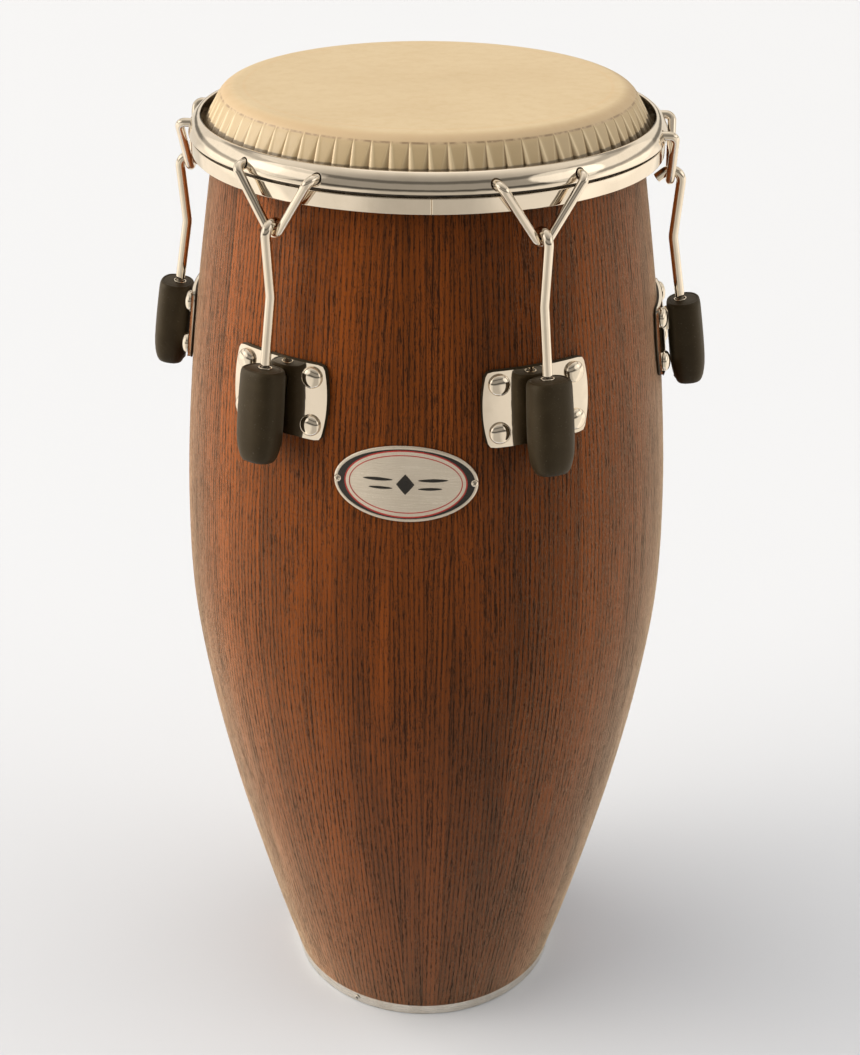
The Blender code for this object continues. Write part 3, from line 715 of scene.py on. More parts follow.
def make_base_band():
    """The steel hoop round the foot, with its three cross-slotted screws."""
    inner = BAND_RADIUS - BAND_THICK
    bottom = 0.0004
    corners = [(BAND_RADIUS, BAND_HEIGHT), (BAND_RADIUS, bottom), (inner, bottom), (inner, BAND_HEIGHT)]
    band = turned("foot_band", rounded(corners, 0.0003), 288)
    place("foot_band", band, steel, "drum_body", ["base_band"], "plain_steel")

    head = [(0, 0.0013), (0.0010, 0.00125), (0.0018, 0.0010), (0.0024, 0.0004), (0.0024, 0), (0, 0)]
    screw = turned("band_screw", rounded(head, 0.0002, closed=False), 24, closed=False)
    for slot in cross_slots(0.0016, 0.0004, 0.0004, 0.002):
        screw = carved(screw, [slot])
    # The slots and the rim of each screw head take the dark steel: painted shade.
    recessed = [int(face.center.z < 0.0006 or abs(face.normal.z) < 0.3) for face in screw.polygons]
    for number, angle in enumerate(BAND_SCREW_ANGLES, 1):
        where = Matrix.Translation((BAND_RADIUS, 0, BAND_HEIGHT / 2)) @ Matrix.Rotation(math.pi / 2, 4, "Y")
        where = about_z(angle) @ where @ Matrix.Rotation(0.4 * number, 4, "Z")
        node = [f"base_band_screw_{number}"]
        metals = [steel, oiled_steel_and_shade]
        place(f"band_screw_{number}", screw.copy(), metals, "drum_body", node, "plain_steel", where, recessed)


# ---------------------------------------------------------------- head, hoop and crown


def pleat_columns(down, width_share, cell):
    """(across, depth, valley, ridge) of the points over one pleat, in metres, with its valley at 0."""
    left = (0.0004 + 0.0034 * down**1.2) * width_share
    right = (0.0004 + 0.0012 * down) * width_share
    deep = 0.00015 + 0.0016 * down**1.6
    crest = 0.00015 + 0.00055 * down
    shown = min(down * 12, 1)
    # Valley and ridge set how much painted shade and painted highlight each point of the film gets.
    columns = [
        (-left - 0.0005, 0.0, 0.0, 0.0),
        (-left, 0.05 * deep, 0.0, 0.35),
        (-0.5 * left, 0.46 * deep, 0.18, 0.0),
        (-0.12 * left, 0.92 * deep, 0.80, 0.0),
        (0.0, deep, 1.0, 0.0),
        (0.30 * right, 0.50 * deep, 0.45, 0.4),
        (0.75 * right, -0.75 * crest, 0.0, 1.0),
        (right + 0.0003 + 0.0003 * down, -crest, 0.0, 1.0),
        (right + 0.0006 + 0.0010 * down, -0.75 * crest, 0.0, 0.85),
        (right + 0.0010 + 0.0018 * down, -0.1 * crest, 0.0, 0.1),
    ]
    start, end = columns[-1][0], cell + columns[0][0]
    columns += [(start + (end - start) * share, 0.0, 0.0, 0.0) for share in (0.2, 0.5, 0.8)]
    return [(across, depth * shown, valley, ridge) for across, depth, valley, ridge in columns]


def head_profile():
    """Rows down the outside of the film: (radius, height, lean of its normal, share of the pleat)."""
    centre = (HEAD_FLAT_RADIUS, HEAD_TOP - HEAD_ROUNDING)
    shares = (0.03, 0.15, 0.35, 0.6, 0.8, 0.92)
    rows = [(HEAD_FLAT_RADIUS * share, HEAD_TOP, math.pi / 2, -1.0) for share in shares]
    leans = [math.pi / 2 + (COLLAR_SLOPE - math.pi / 2) * index / 24 for index in range(25)]
    for lean, (radius, height) in zip(leans, arc(centre, HEAD_ROUNDING, leans[0], leans[-1], 24)):
        rows.append((radius, height, lean, (PLEAT_START - lean) * HEAD_ROUNDING / PLEAT_LENGTH))
    radius, height, lean, share = rows[-1]
    for step in (0.0012, 0.0026, 0.0042, 0.0060, 0.0080, 0.0103, 0.0130, 0.0165, 0.0210, 0.0265, 0.0320):
        fall = min(step, height - COLLAR_END)
        reach = radius + fall * math.tan(lean)
        rows.append((reach, height - fall, lean, share + fall / math.cos(lean) / PLEAT_LENGTH))
    return rows


def make_head():
    """The film. Below its rounding it hangs in panels, with a pleat between each two."""
    profile = head_profile()
    for radius, height, lean, share in profile[::-1]:
        within = (radius - HEAD_THICK * math.cos(lean), height - HEAD_THICK * math.sin(lean))
        profile.append((*within, lean, share))
    rows = len(profile)
    widths = rng.uniform(0.80, 1.25, PLEATS)
    shifts = rng.uniform(-0.05, 0.05, PLEATS)
    points, fold = [], []
    for number in range(PLEATS):
        grid = []
        for radius, height, lean, share in profile:
            down = min(max(share, 0), 1)
            cell = TAU * max(radius, 0.02) / PLEATS
            recess = 0.00022 * smooth(0.0, 0.05, share)
            line = []
            share_of_width = widths[number] * min(1, cell / 0.0115)
            for across, depth, valley, ridge in pleat_columns(down, share_of_width, cell):
                sway = shifts[number] * (1 - abs(2 * across / cell - 1))
                angle = TAU * (number + sway + across / cell) / PLEATS
                reach = radius - (depth + recess) * math.cos(lean)
                up = height - (depth + recess) * math.sin(lean)
                line.append((polar(reach, angle, up), (valley, ridge, share)))
            grid.append(line)
        for column in zip(*grid):
            points += [point for point, _ in column]
            fold += [values for _, values in column]
    total = len(points) // rows
    faces = lattice(total, rows, closed=False)
    faces.append(tuple(column * rows for column in range(total)))
    faces.append(tuple(column * rows + rows - 1 for column in reversed(range(total))))
    mesh = bpy.data.meshes.new("pleated_head")
    mesh.from_pydata(points, [], faces)
    store_vectors(mesh, "fold", "POINT", fold)
    place("pleated_head", finished(mesh, 62), film, "crown_set", ["drum_head"], "head_film")


def make_hoop():
    """The flesh hoop, a rolled channel whose ends are butt-welded at the front."""
    corners = [
        (HOOP_RADIUS, HOOP_TOP),
        (HOOP_RADIUS, HOOP_BOTTOM),
        (HOOP_INNER, HOOP_BOTTOM),
        (HOOP_INNER, HOOP_TOP - 0.0026),
        (HOOP_INNER + HOOP_SHEET, HOOP_TOP - 0.0026),
        (HOOP_INNER + HOOP_SHEET, HOOP_BOTTOM + HOOP_SHEET),
        (HOOP_RADIUS - HOOP_SHEET, HOOP_BOTTOM + HOOP_SHEET),
        (HOOP_RADIUS - HOOP_SHEET, HOOP_TOP),
    ]
    weld = math.radians(-89.2)
    angles = [TAU * index / 288 - math.pi for index in range(288)]
    angles = [a for a in angles if abs(a - weld) > 0.012]
    for away in (0.0008, 0.0016, 0.003, 0.006, 0.012):
        angles += [weld - away, weld + away]
    angles.append(weld)

    def bead(angle, radius):
        if radius < HOOP_RADIUS - 0.0003:
            return 0
        away = abs(angle - weld)
        return -0.00050 * max(0, 1 - away / 0.0016) + 0.00016 * max(0, 1 - abs(away - 0.0030) / 0.0022)

    mesh = turned("flesh_hoop_channel", rounded(corners, 0.0007, 4), angles=sorted(angles), push=bead)
    place("flesh_hoop_channel", mesh, chrome, "crown_set", ["flesh_hoop"], "chrome")


def make_crown():
    """The crown. Its face bulges, and twelve holes take the ends of the V-loops."""
    rise = CROWN_LIP_HEIGHT - CROWN_BOTTOM
    swell = CROWN_RADIUS - CROWN_LIP_RADIUS
    face = []
    for index in range(19):
        turn = math.pi / 2 * index / 18
        out = math.sin(turn) ** CROWN_BULGE
        up = max(math.cos(turn), 0) ** CROWN_BULGE
        face.append((CROWN_LIP_RADIUS + swell * out, CROWN_BOTTOM + rise * up))
    leg_inner, leg_outer = CROWN_LEG
    foot = HOOP_TOP + 0.0002
    leg = [(leg_outer, CROWN_BOTTOM), (leg_outer, foot), (leg_inner, foot), (leg_inner, CROWN_BOTTOM + 0.003)]
    under = [(CROWN_RADIUS - 0.0001, CROWN_BOTTOM - 0.0003), (CROWN_RADIUS - 0.0010, CROWN_BOTTOM - 0.0006)]
    under += rounded(leg, 0.0004, 2, closed=False)
    # Up the back of the lip and over it, as (in from the lip, down from the lip).
    for back, down in ((0.0010, 0.0030), (0.0014, 0.0010), (0.0013, 0.0003), (0.0007, 0)):
        under.append((CROWN_LIP_RADIUS - back, CROWN_LIP_HEIGHT - down))
    hole = rod_mesh(LOOP_WIRE + 0.0007, -0.012, 0.012, 32)
    holes = []
    for angle in LUG_ANGLES:
        for side in (-1, 1):
            where = Matrix.Translation(LOOP_HINGE + Vector((0, side * LOOP_HALF_WIDTH, 0)))
            where = where @ Matrix.Rotation(math.pi / 2, 4, "Y")
            holes.append((hole, about_z(angle) @ where))
    crown = carved(turned("crown_ring", face + under, 288, sharp=50), holes, 45)
    # Faces inside the leg and under the crown take the groove material: painted shade in the gap above the
    # hoop.
    painted = []
    for middle in [polygon.center for polygon in crown.polygons]:
        inward = math.hypot(middle.x, middle.y) < leg_outer + 0.0003
        painted.append(int(inward and middle.z < CROWN_BOTTOM - 0.0004))
    place("crown_ring", crown, [chrome, groove], "crown_set", ["crown"], "chrome", painted=painted)


# ---------------------------------------------------------------- lugs


def sheet_outline(half_width, half_height, bow, corner, count=16):
    """Points round a plate whose short sides are bowed and whose corners are rounded."""
    points = []
    for index in range(count + 1):
        up = -1 + 2 * index / count
        points.append((half_width + bow * (1 - up * up), up * half_height))
    points += [(half_width * (1 - 2 * index / count), half_height) for index in range(1, count)]
    for index in range(count + 1):
        up = 1 - 2 * index / count
        points.append((-half_width - bow * (1 - up * up), up * half_height))
    points += [(-half_width * (1 - 2 * index / count), -half_height) for index in range(1, count)]
    softened = []
    for x, y in points:
        limit_x = half_width + bow * (1 - (y / half_height) ** 2)
        inner_x, inner_y = limit_x - corner, half_height - corner
        if abs(x) > inner_x and abs(y) > inner_y:
            off = Vector((abs(x) - inner_x, abs(y) - inner_y))
            if off.length > corner:
                off = off.normalized() * corner
            x, y = math.copysign(inner_x + off.x, x), math.copysign(inner_y + off.y, y)
        softened.append((x, y))
    return softened


def curved_plate(name, half_width, half_height, bow, corner, standoff, thick, edge):
    """A plate that follows the shell on the +X side, with softened edges."""
    outline = sheet_outline(half_width, half_height, bow, corner)
    rings = [(share, thick, 0.0) for share in (0.02, 0.12, 0.25, 0.4, 0.55, 0.7, 0.82, 0.92)]
    rings += [(1.0, thick, -edge), (1.0, thick - 0.3 * edge, -0.3 * edge), (1.0, thick - edge, 0.0)]
    rings += [(1.0, 0.0, 0.0), (0.7, 0.0, 0.0), (0.3, 0.0, 0.0), (0.02, 0.0, 0.0)]
    points = []
    for share, lift, inset in rings:
        for x, y in outline:
            x = x * share + math.copysign(inset, x) * min(1, abs(x) / (0.3 * half_width))
            y = y * share + math.copysign(inset, y) * min(1, abs(y) / (0.3 * half_height))
            height = PLATE_MIDDLE + y
            radius = shell_radius(height) + standoff
            points.append(polar(radius + lift, x / radius, height))
    return ringed(name, points, len(outline), 30)


def bolt_frames():
    turn = BOLT_ACROSS / shell_radius(PLATE_MIDDLE)
    return [
        on_shell(side * turn, PLATE_MIDDLE + level * BOLT_UP)
        for side in (-1, 1)
        for level in (-1, 1)
    ]


def ear_mesh():
    """The ear of the side plate, with the rod's hole through it."""
    nose = arc((0, 0), EAR_HALF_WIDTH, -math.pi / 2, math.pi / 2, 20)
    outline = [(-EAR_REACH, -EAR_HALF_WIDTH), *nose, (-EAR_REACH, EAR_HALF_WIDTH)]
    low = EAR_TOP - EAR_HEIGHT
    rings = [(0.94, low), (1.0, low + 0.0005), (1.0, EAR_TOP - 0.0005), (0.94, EAR_TOP)]
    points = [(x * share, y * share, height) for share, height in rings for x, y in outline]
    return carved(ringed("ear", points, len(outline)), [(rod_mesh(ROD_HOLE, -0.04, 0.02), Matrix())])


def bush_mesh():
    """The plated ring that shows in the top of the sleeve."""
    top, low = 0.0006, EAR_TOP - 0.001
    corners = [(ROD_HOLE, top), (BUSH_RADIUS, top), (BUSH_RADIUS, low), (ROD_HOLE, low)]
    return turned("bush", rounded(corners, 0.0005, 4), 40)


def dome_bolt_mesh():
    base = GASKET_STANDOFF + GASKET_THICK + PLATE_THICK
    rim, height = 0.0009, 0.0046
    outline = [(0, base + height)]
    for index in range(1, 11):
        turn = math.pi / 2 * index / 10
        up = base + rim + (height - rim) * math.cos(turn)
        outline.append((BOLT_HEAD_RADIUS * math.sin(turn) ** 0.9, up))
    end = -WALL - STRAP_THICK - 0.0046
    outline += [(BOLT_HEAD_RADIUS, base + 0.0002), (BOLT_HEAD_RADIUS - 0.0003, base), (0.0028, base)]
    outline += [(0.0028, end + 0.0004), (0.0024, end), (0, end)]
    return turned("dome_bolt", outline, 36, closed=False)


def hex_mesh(name, radius, low, high, bore):
    """A chamfered hexagon nut along Z."""
    flat = radius * math.cos(math.pi / 6)
    chamfer = flat + (radius - flat) * 0.45
    count = 48
    span = high - low
    rows = [(bore, low + 0.0004), (bore + 0.0003, low), (flat * 0.97, low)]
    rows += [(chamfer, low + span * 0.08), (radius, low + span * 0.17), (radius, high - span * 0.17)]
    rows += [(chamfer, high - span * 0.08), (flat * 0.97, high), (bore + 0.0003, high), (bore, high - 0.0004)]
    points = []
    for index in range(count):
        angle = TAU * index / count
        side = flat / math.cos((angle + math.pi / 6) % (math.pi / 3) - math.pi / 6)
        points += [polar(min(side, limit), angle, height) for limit, height in rows]
    return make_mesh(name, points, lattice(count, len(rows)), 25)


def sleeve_mesh():
    """The oval rubber sleeve: a dished top, a rounded foot and a slot at its back for the ear."""
    ceiling = EAR_TOP + 0.0006
    mouth = BUSH_RADIUS + 0.0004
    bottom = -SLEEVE_LENGTH
    outer = [(mouth, 0.0001), (0.0085, -0.0002), (0.0112, -0.0003), (0.0119, -0.0005), (0.0124, -0.0001)]
    outer += [(0.0132, -0.0001), (0.0141, -0.0008), (0.0147, -0.0024), (0.0150, -0.0050), (0.0151, -0.0090)]
    outer += [(0.01535, -0.0170), (SLEEVE_RADIUS, -0.0280), (SLEEVE_RADIUS, -0.0380), (0.0154, -0.0450)]
    outer += [(0.0149, -0.0505), (0.0141, -0.0552), (0.0131, -0.0589), (0.0120, -0.0615)]
    outer += [(0.0108, bottom + 0.0002), (0.0100, bottom), (SLEEVE_BORE + 0.0002, bottom + 0.0008)]
    inner = [(SLEEVE_BORE, -0.0600), (SLEEVE_BORE, -0.0300), (SLEEVE_BORE, ceiling), (mouth, ceiling)]
    outline = outer + inner
    sides = 56
    points = []
    for index in range(sides):
        angle = TAU * index / sides
        c, s = math.cos(angle), math.sin(angle)
        square = 1 / (abs(c) ** SLEEVE_SQUARENESS + abs(s) ** SLEEVE_SQUARENESS) ** (1 / SLEEVE_SQUARENESS)
        for row, (radius, height) in enumerate(outline):
            oval = smooth(mouth, 0.0120, radius) if row < len(outer) else 0.0
            stretch = 1 + (square - 1) * oval
            x = radius * c * stretch * (1 + (SLEEVE_DEPTH - 1) * oval) + SLEEVE_OFFSET * oval
            points.append((x, radius * s * stretch, height))
    body = make_mesh("sleeve", points, lattice(sides, len(outline)), 60)
    half = EAR_HALF_WIDTH + 0.0004
    slot = block_mesh((-0.03, -half, EAR_TOP - EAR_HEIGHT - 0.0012), (0, half, ceiling))
    return carved(body, [(slot, Matrix())], 50)


def fillet(before, corner, after, radius, count):
    """Points of an arc that rounds a corner of a wire."""
    arrive = (before - corner).normalized()
    leave = (after - corner).normalized()
    half = arrive.angle(leave) / 2
    centre = corner + (arrive + leave).normalized() * (radius / math.sin(half))
    start = corner + arrive * (radius / math.tan(half)) - centre
    axis = start.cross(corner + leave * (radius / math.tan(half)) - centre).normalized()
    sweep = math.pi - 2 * half
    return [centre + Matrix.Rotation(sweep * i / count, 3, axis) @ start for i in range(count + 1)]


def loop_mesh():
    """A V-loop in place on the +X side."""
    ratio = LOOP_BEND / LOOP_HALF_WIDTH
    lift = LOOP_BEND - (LOOP_HINGE.z - LOOP_BOTTOM)
    inside = lift**2 - (1 - ratio**2) * (lift**2 - LOOP_BEND**2)
    drop = (math.sqrt(inside) - lift) / (1 - ratio**2)
    top = LOOP_HINGE.z
    bottom = Vector((LOOP_PLANE, 0, top - drop))
    corners = [Vector((LOOP_PLANE, side * LOOP_HALF_WIDTH, top)) for side in (1, -1)]
    ends = [Vector((LOOP_END, corner.y, top)) for corner in corners]
    left, right = [
        [end, *fillet(end, corner, bottom, LOOP_SHOULDER, 10)] for end, corner in zip(ends, corners)
    ]
    path = left + fillet(corners[0], bottom, corners[1], LOOP_BEND, 20) + right[::-1]
    return tube("loop", path, [LOOP_WIRE] * len(path), 24)


def rod_mesh_with_hook():
    """A hook rod in place on the +X side: the hook, the cranked shank, the shoulder and the thread."""
    seat = seat_frame()
    knee = seat @ Vector((0, 0, KNEE_ABOVE_SEAT))
    lean = math.atan2(HOOK_CENTRE.x + HOOK_RADIUS - knee.x, HOOK_CENTRE.z - knee.z)
    hook = arc((HOOK_CENTRE.x, HOOK_CENTRE.z), HOOK_RADIUS, HOOK_SWEEP, -lean, 26)
    hook = [Vector((x, 0, z)) for x, z in hook]
    along = Vector((-math.sin(HOOK_SWEEP), 0, math.cos(HOOK_SWEEP)))
    tip = hook[0] + along * HOOK_TIP
    shoulder = seat @ Vector((0, 0, SHOULDER_ABOVE_SEAT))
    path = [tip, tip - along * 0.0003, *hook, *fillet(hook[-1], knee, shoulder, 0.02, 10)]
    sides = 24
    radii = [ROD_RADIUS - 0.0003] + [ROD_RADIUS] * (len(path) - 1)
    path += [seat @ Vector((0, 0, SHOULDER_ABOVE_SEAT + 0.0004)), shoulder]
    radii += [ROD_RADIUS, ROD_RADIUS - 0.0004]
    path.append(seat @ Vector((0, 0, SHOULDER_ABOVE_SEAT - 0.0001)))
    radii.append(THREAD_RADIUS - 0.0004)
    steps = int(THREAD_LENGTH / THREAD_PITCH * 6)
    for step in range(steps):
        depth = 0.0006 + (THREAD_LENGTH - 0.0006) * step / (steps - 1)
        fade = smooth(0.0, 0.0012, depth) * smooth(THREAD_LENGTH, THREAD_LENGTH - 0.0012, depth)
        path.append(seat @ Vector((0, 0, SHOULDER_ABOVE_SEAT - depth)))
        ring = []
        for side in range(sides):
            phase = (depth / THREAD_PITCH + side / sides) % 1
            ring.append(THREAD_RADIUS - 0.0004 + fade * 0.0005 * min(1, 1.35 * (1 - abs(2 * phase - 1))))
        radii.append(ring)
    return tube("rod", path, radii, sides, 40)


def make_lugs():
    behind = GASKET_STANDOFF + GASKET_THICK
    width, height, margin = PLATE_HALF_WIDTH, PLATE_HALF_HEIGHT, GASKET_MARGIN
    back = -WALL - STRAP_THICK
    plate = curved_plate("plate", width, height, PLATE_BOW, 0.0024, behind, PLATE_THICK, 0.0006)
    gasket = curved_plate(
        "gasket", width + margin, height + margin, PLATE_BOW, 0.0035, GASKET_STANDOFF, GASKET_THICK, 0.0004
    )
    strap_back = back - 0.0001
    strap = curved_plate("strap", width - MM, height - 3 * MM, 0.0, 0.0030, strap_back, STRAP_THICK, 0.0004)
    frames = bolt_frames()
    bolts = joined("bolts", [(dome_bolt_mesh(), f) for f in frames])
    strap_nut = hex_mesh("strap_nut", 0.0056, back - 0.0036, back - 0.0002, 0.0026)
    strap_nuts = joined("nuts", [(strap_nut, f) for f in frames])
    pieces = {
        "lug_plate": (plate, chrome, "chrome", "side_plate", Matrix()),
        "lug_ear": (ear_mesh(), chrome, "chrome", None, seat_frame()),
        "lug_bush": (bush_mesh(), chrome, "chrome", None, seat_frame()),
        "lug_gasket": (gasket, rubber, "black_rubber", "plate_gasket", Matrix()),
        "backing_strap": (strap, steel, "chrome", None, Matrix()),
        "dome_bolts": (bolts, chrome, "chrome", "plate_bolts", Matrix()),
        "strap_nuts": (strap_nuts, steel, "chrome", None, Matrix()),
        "rubber_sleeve": (sleeve_mesh(), rubber, "black_rubber", "lug_sleeve", seat_frame(SLEEVE_TILT)),
    }
    top = EAR_TOP - EAR_HEIGHT - 0.0003
    nut = hex_mesh("nut", NUT_RADIUS, top - NUT_HEIGHT, top, NUT_BORE)
    loop = loop_mesh()
    rod = rod_mesh_with_hook()
    seat = seat_frame().inverted()
    # The thread takes the dark steel: partly its oil, partly painted shade in the gap below the shoulder.
    threaded = [int((seat @ face.center).z < SHOULDER_ABOVE_SEAT - 0.0002) for face in rod.polygons]
    # Each moving piece: its mesh, materials, CAD node, slot, place and material of each face.
    moving = {
        "hex_nut": (nut, steel, "tuning_nut", "plain_steel", seat_frame(), None),
        "wire_loop": (loop, chrome, "v_loop", "chrome", Matrix(), None),
        "tuning_rod": (rod, [chrome, oiled_steel_and_shade], "hook_rod", "chrome", Matrix(), threaded),
    }
    for number, angle in enumerate(LUG_ANGLES, 1):
        turn = about_z(angle)
        for name, (mesh, material, slot, node, where) in pieces.items():
            stands_for = [f"{node}_{number}"] if node else ()
            place(f"{name}_{number}", mesh.copy(), material, "drum_body", stands_for, slot, turn @ where)
        for name, (mesh, material, node, slot, where, painted) in moving.items():
            node = f"{node}_{number}"
            body = f"{node}_body"
            place(f"{name}_{number}", mesh.copy(), material, body, [node], slot, turn @ where, painted)


# ---------------------------------------------------------------- badge


def badge_point(x, y, lift):
    height = BADGE_HEIGHT + y
    turn = BADGE_ANGLE + x / shell_radius(BADGE_HEIGHT)
    return polar(shell_radius(height) + BADGE_STANDOFF + lift, turn, height)


def badge_solid(rings):
    """Points of an oval piece. Each ring is (share, distance in from the sides, from top and foot, lift)."""
    points = []
    for share, inset_x, inset_y, lift in rings:
        for index in range(BADGE_SIDES):
            angle = TAU * index / BADGE_SIDES
            x = (BADGE_HALF_WIDTH - inset_x) * math.cos(angle) * share
            y = (BADGE_HALF_HEIGHT - inset_y) * math.sin(angle) * share
            points.append(badge_point(x, y, lift))
    return points


def oval_ring(name, outside, inside, top, material):
    """An enamel line that runs round the badge, between two ovals."""
    low, high = BADGE_THICK - 0.0001, BADGE_THICK + top
    points = badge_solid([(1, *outside, low), (1, *outside, high), (1, *inside, high), (1, *inside, low)])
    mesh = make_mesh(name, points, lattice(4, BADGE_SIDES))
    place(name, mesh, material, "drum_body", (), "badge_nickel")


def stroke(name, centre, half_length, half_width, power):
    """A tapered enamel stroke of the badge's ornament."""
    sides = 32
    top = BADGE_THICK + 0.00022
    rings = [(0, BADGE_THICK - 0.0001), (0, top - 0.00005), (0.00008, top), (0.0006, top + 0.00002)]
    points = []
    for inset, lift in rings:
        inset = min(inset, 0.8 * half_width)
        for index in range(sides):
            c, s = math.cos(TAU * index / sides), math.sin(TAU * index / sides)
            x = math.copysign(abs(c) ** power, c) * (half_length - inset)
            y = math.copysign(abs(s) ** power, s) * (half_width - inset)
            points.append(badge_point(centre[0] + x, centre[1] + y, lift))
    place(name, ringed(name, points, sides), black_enamel, "drum_body", (), "badge_nickel")


def make_badge():
    """A plain oval badge: beaded edge, dark border, two red lines and a lozenge between tapered strokes."""
    thick = BADGE_THICK
    bead = thick + 0.00018
    rings = [(share, 0, 0, thick) for share in (0.02, 0.3, 0.6, 0.85)]
    rim = ((0.0022, thick), (0.0018, bead), (0.0009, bead), (0.0003, thick), (0, thick - 0.0003))
    rings += [(1, inset, inset, lift) for inset, lift in rim]
    rings += [(share, 0, 0, 0) for share in (1, 0.5, 0.02)]
    plate = ringed("badge_plate", badge_solid(rings), BADGE_SIDES, 30)
    place("badge_plate", plate, nickel, "drum_body", ["badge"], "badge_nickel")
    oval_ring("badge_border", (0.0022, 0.0022), (0.0078, 0.0031), 0.00008, black_enamel)
    oval_ring("badge_line_outer", (0.0074, 0.0029), (0.0083, 0.0038), 0.00016, red_enamel)
    oval_ring("badge_line_inner", (0.0106, 0.0062), (0.0112, 0.0068), 0.00016, red_enamel)
    stroke("badge_lozenge", (0, 0), 0.0060, 0.0072, 1.9)
    for side, word in ((-1, "left"), (1, "right")):
        stroke(f"badge_stroke_{word}_upper", (side * 0.0185, 0.0030), 0.0100, 0.0011, 1.2)
        stroke(f"badge_stroke_{word}_lower", (side * 0.0165, -0.0030), 0.0080, 0.0009, 1.2)
    head = BADGE_STANDOFF + thick
    outline = [(0, head + 0.00135), (0.0008, head + 0.0013), (0.0016, head + 0.0011)]
    outline += [(0.0022, head + 0.00075), (PIN_HEAD, head + 0.0002), (PIN_HEAD, head)]
    outline += [(0.0008, head - 0.0004), (0.0008, -0.004)]
    pin = turned("pin", [*outline, (0, -0.004)], 24, closed=False)
    for slot in cross_slots(0.0013, 0.0003, head + 0.0006, head + 0.002):
        pin = carved(pin, [slot])
    # The floors of the slots take the dark steel: painted shade.
    recessed = [int(face.center.z < head + 0.0007 and abs(face.normal.z) > 0.9) for face in pin.polygons]
    turn = PIN_ACROSS / shell_radius(BADGE_HEIGHT)
    for side, word in ((-1, "left"), (1, "right")):
        where = on_shell(BADGE_ANGLE + side * turn, BADGE_HEIGHT) @ Matrix.Rotation(0.6 * side, 4, "Z")
        metals = [chrome, oiled_steel_and_shade]
        node = [f"badge_pin_{word}"]
        place(f"pin_{word}", pin.copy(), metals, "drum_body", node, "badge_nickel", where, recessed)


# ---------------------------------------------------------------- studio


def make_floor():
    """A pale floor. Only its part near the drum shows in reflections; beyond it they meet the studio."""
    material = floor_material()
    for name, radii in (("studio_floor_near", [0.42]), ("studio_floor_far", [12.0, 0.42])):
        points = [polar(radius, TAU * index / 96, 0) for radius in radii for index in range(96)]
        near = len(radii) == 1
        mesh = bpy.data.meshes.new(name)
        mesh.from_pydata(points, [], [tuple(range(96))] if near else lattice(2, 96, around=False))
        mesh.materials.append(material)
        floor = bpy.data.objects.new(name, mesh)
        floor.location.z = -0.0002
        floor.visible_glossy = near
        bpy.context.scene.collection.objects.link(floor)


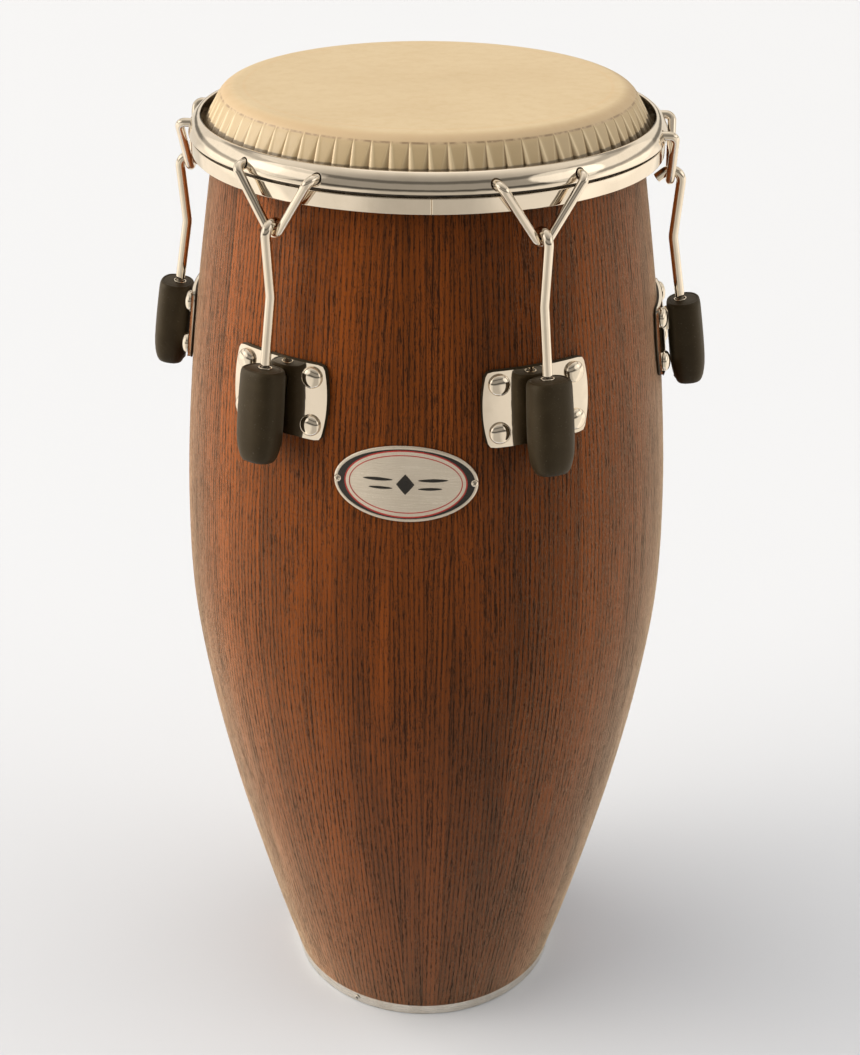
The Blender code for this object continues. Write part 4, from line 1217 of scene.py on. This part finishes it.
def make_world():
    """A white studio: darker on the camera's side, with soft warm boxes to the left and right."""
    world = bpy.data.worlds.new("studio")
    bpy.context.scene.world = world
    g = Graph(world, "Background", "Generated")
    ray = g.node("ShaderNodeLightPath").outputs
    # Polished metal sees each box dimmer than it lights the drum, as it does through a diffuser.
    mirrored = ray["Is Glossy Ray"]
    x, y, z = g.split(g.coords)
    above = g.step(y, -0.75, 0.25, g.add(0.34, g.times(mirrored, 0.05)), 1.0)
    for middle, half, depth in ((0.60, 0.12, 0.60), (0.13, 0.10, 0.75)):
        away = g.math("ABSOLUTE", g.add(z, -middle))
        above = g.times(above, g.step(away, 0.3 * half, half, 1.0 - depth, 1.0))
    aside = g.times(g.step(g.math("ABSOLUTE", x), 0.30, 0.62), 0.36, g.step(y, 0.2, -0.3))
    below = g.add(g.step(y, -0.75, 0.35, 0.62, 0.92), aside)
    level = g.step(z, -0.03, 0.03)
    base = g.add(g.times(above, level), g.times(below, g.math("SUBTRACT", 1, level)))
    colour = g.mix(1.0, g.mix(mirrored, (1.0, 0.955, 0.885), (1.46, 1.32, 1.12)), g.grey(base), "MULTIPLY")
    # Each box: its direction, its outer and inner half angles, its light, its mirror image and its tint.
    boxes = (
        ((-0.88, -0.24, 0.40), 27, 13, 7.5, 1.00, (1.0, 0.91, 0.78)),
        ((-0.93, 0.24, 0.27), 38, 18, 10.5, 0.40, (1.0, 0.91, 0.78)),
        ((0.88, -0.30, 0.38), 25, 12, 2.8, 1.10, (1.0, 0.92, 0.80)),
        ((0.93, 0.24, 0.27), 38, 18, 4.2, 0.30, (1.0, 0.92, 0.80)),
        ((0.0, -0.05, 1.0), 50, 24, 1.4, 0.0, (1.0, 0.98, 0.94)),
        ((0.0, 0.50, 0.87), 17, 8, 0.4, 0.45, (1.0, 0.98, 0.94)),
        ((-0.84, 0.25, -0.46), 44, 20, 0.5, 0.50, (1.0, 0.88, 0.72)),
        ((0.84, 0.30, -0.46), 44, 18, 0.5, 0.50, (1.0, 0.88, 0.72)),
    )
    for direction, outside, inside, power, seen, tint in boxes:
        inputs = {0: g.coords, 1: Vector(direction).normalized()}
        toward = g.node("ShaderNodeVectorMath", inputs, operation="DOT_PRODUCT").outputs["Value"]
        # A mirrored box has a crisper edge than its light.
        low, high = [math.cos(math.radians(angle)) for angle in (outside, inside)]
        crisp = g.times(mirrored, 0.36 * (high - low))
        shown = g.add(power, g.times(mirrored, seen - power))
        glow = g.times(g.step(toward, g.add(low, crisp), g.math("SUBTRACT", high, crisp)), shown)
        colour = g.mix(1.0, colour, g.mix(1.0, tint, g.grey(glow), "MULTIPLY"), "ADD")
    backdrop = (1.48, 1.47, 1.44)
    g.set(Color=g.mix(ray["Is Camera Ray"], colour, backdrop), Strength=0.62)


def make_camera():
    camera = bpy.data.cameras.new("camera")
    camera.sensor_width = SENSOR
    camera.lens = SENSOR * FOCAL_IN_HEIGHTS
    obj = bpy.data.objects.new("camera", camera)
    cos_down, sin_down = math.cos(CAMERA_DOWN), math.sin(CAMERA_DOWN)
    ahead = Vector((math.sin(CAMERA_TURN) * cos_down, math.cos(CAMERA_TURN) * cos_down, -sin_down))
    level = Vector((math.cos(CAMERA_TURN), -math.sin(CAMERA_TURN), 0))
    above = level.cross(ahead)
    right = level * math.cos(CAMERA_ROLL) + above * math.sin(CAMERA_ROLL)
    up = above * math.cos(CAMERA_ROLL) - level * math.sin(CAMERA_ROLL)
    obj.matrix_world = Matrix.Translation(CAMERA_PLACE) @ Matrix((right, up, -ahead)).transposed().to_4x4()
    bpy.context.scene.collection.objects.link(obj)
    bpy.context.scene.camera = obj


make_shell()
make_base_band()
make_head()
make_hoop()
make_crown()
make_lugs()
make_badge()
make_floor()
make_world()
make_camera()
bpy.context.scene.view_settings.view_transform = "Standard"
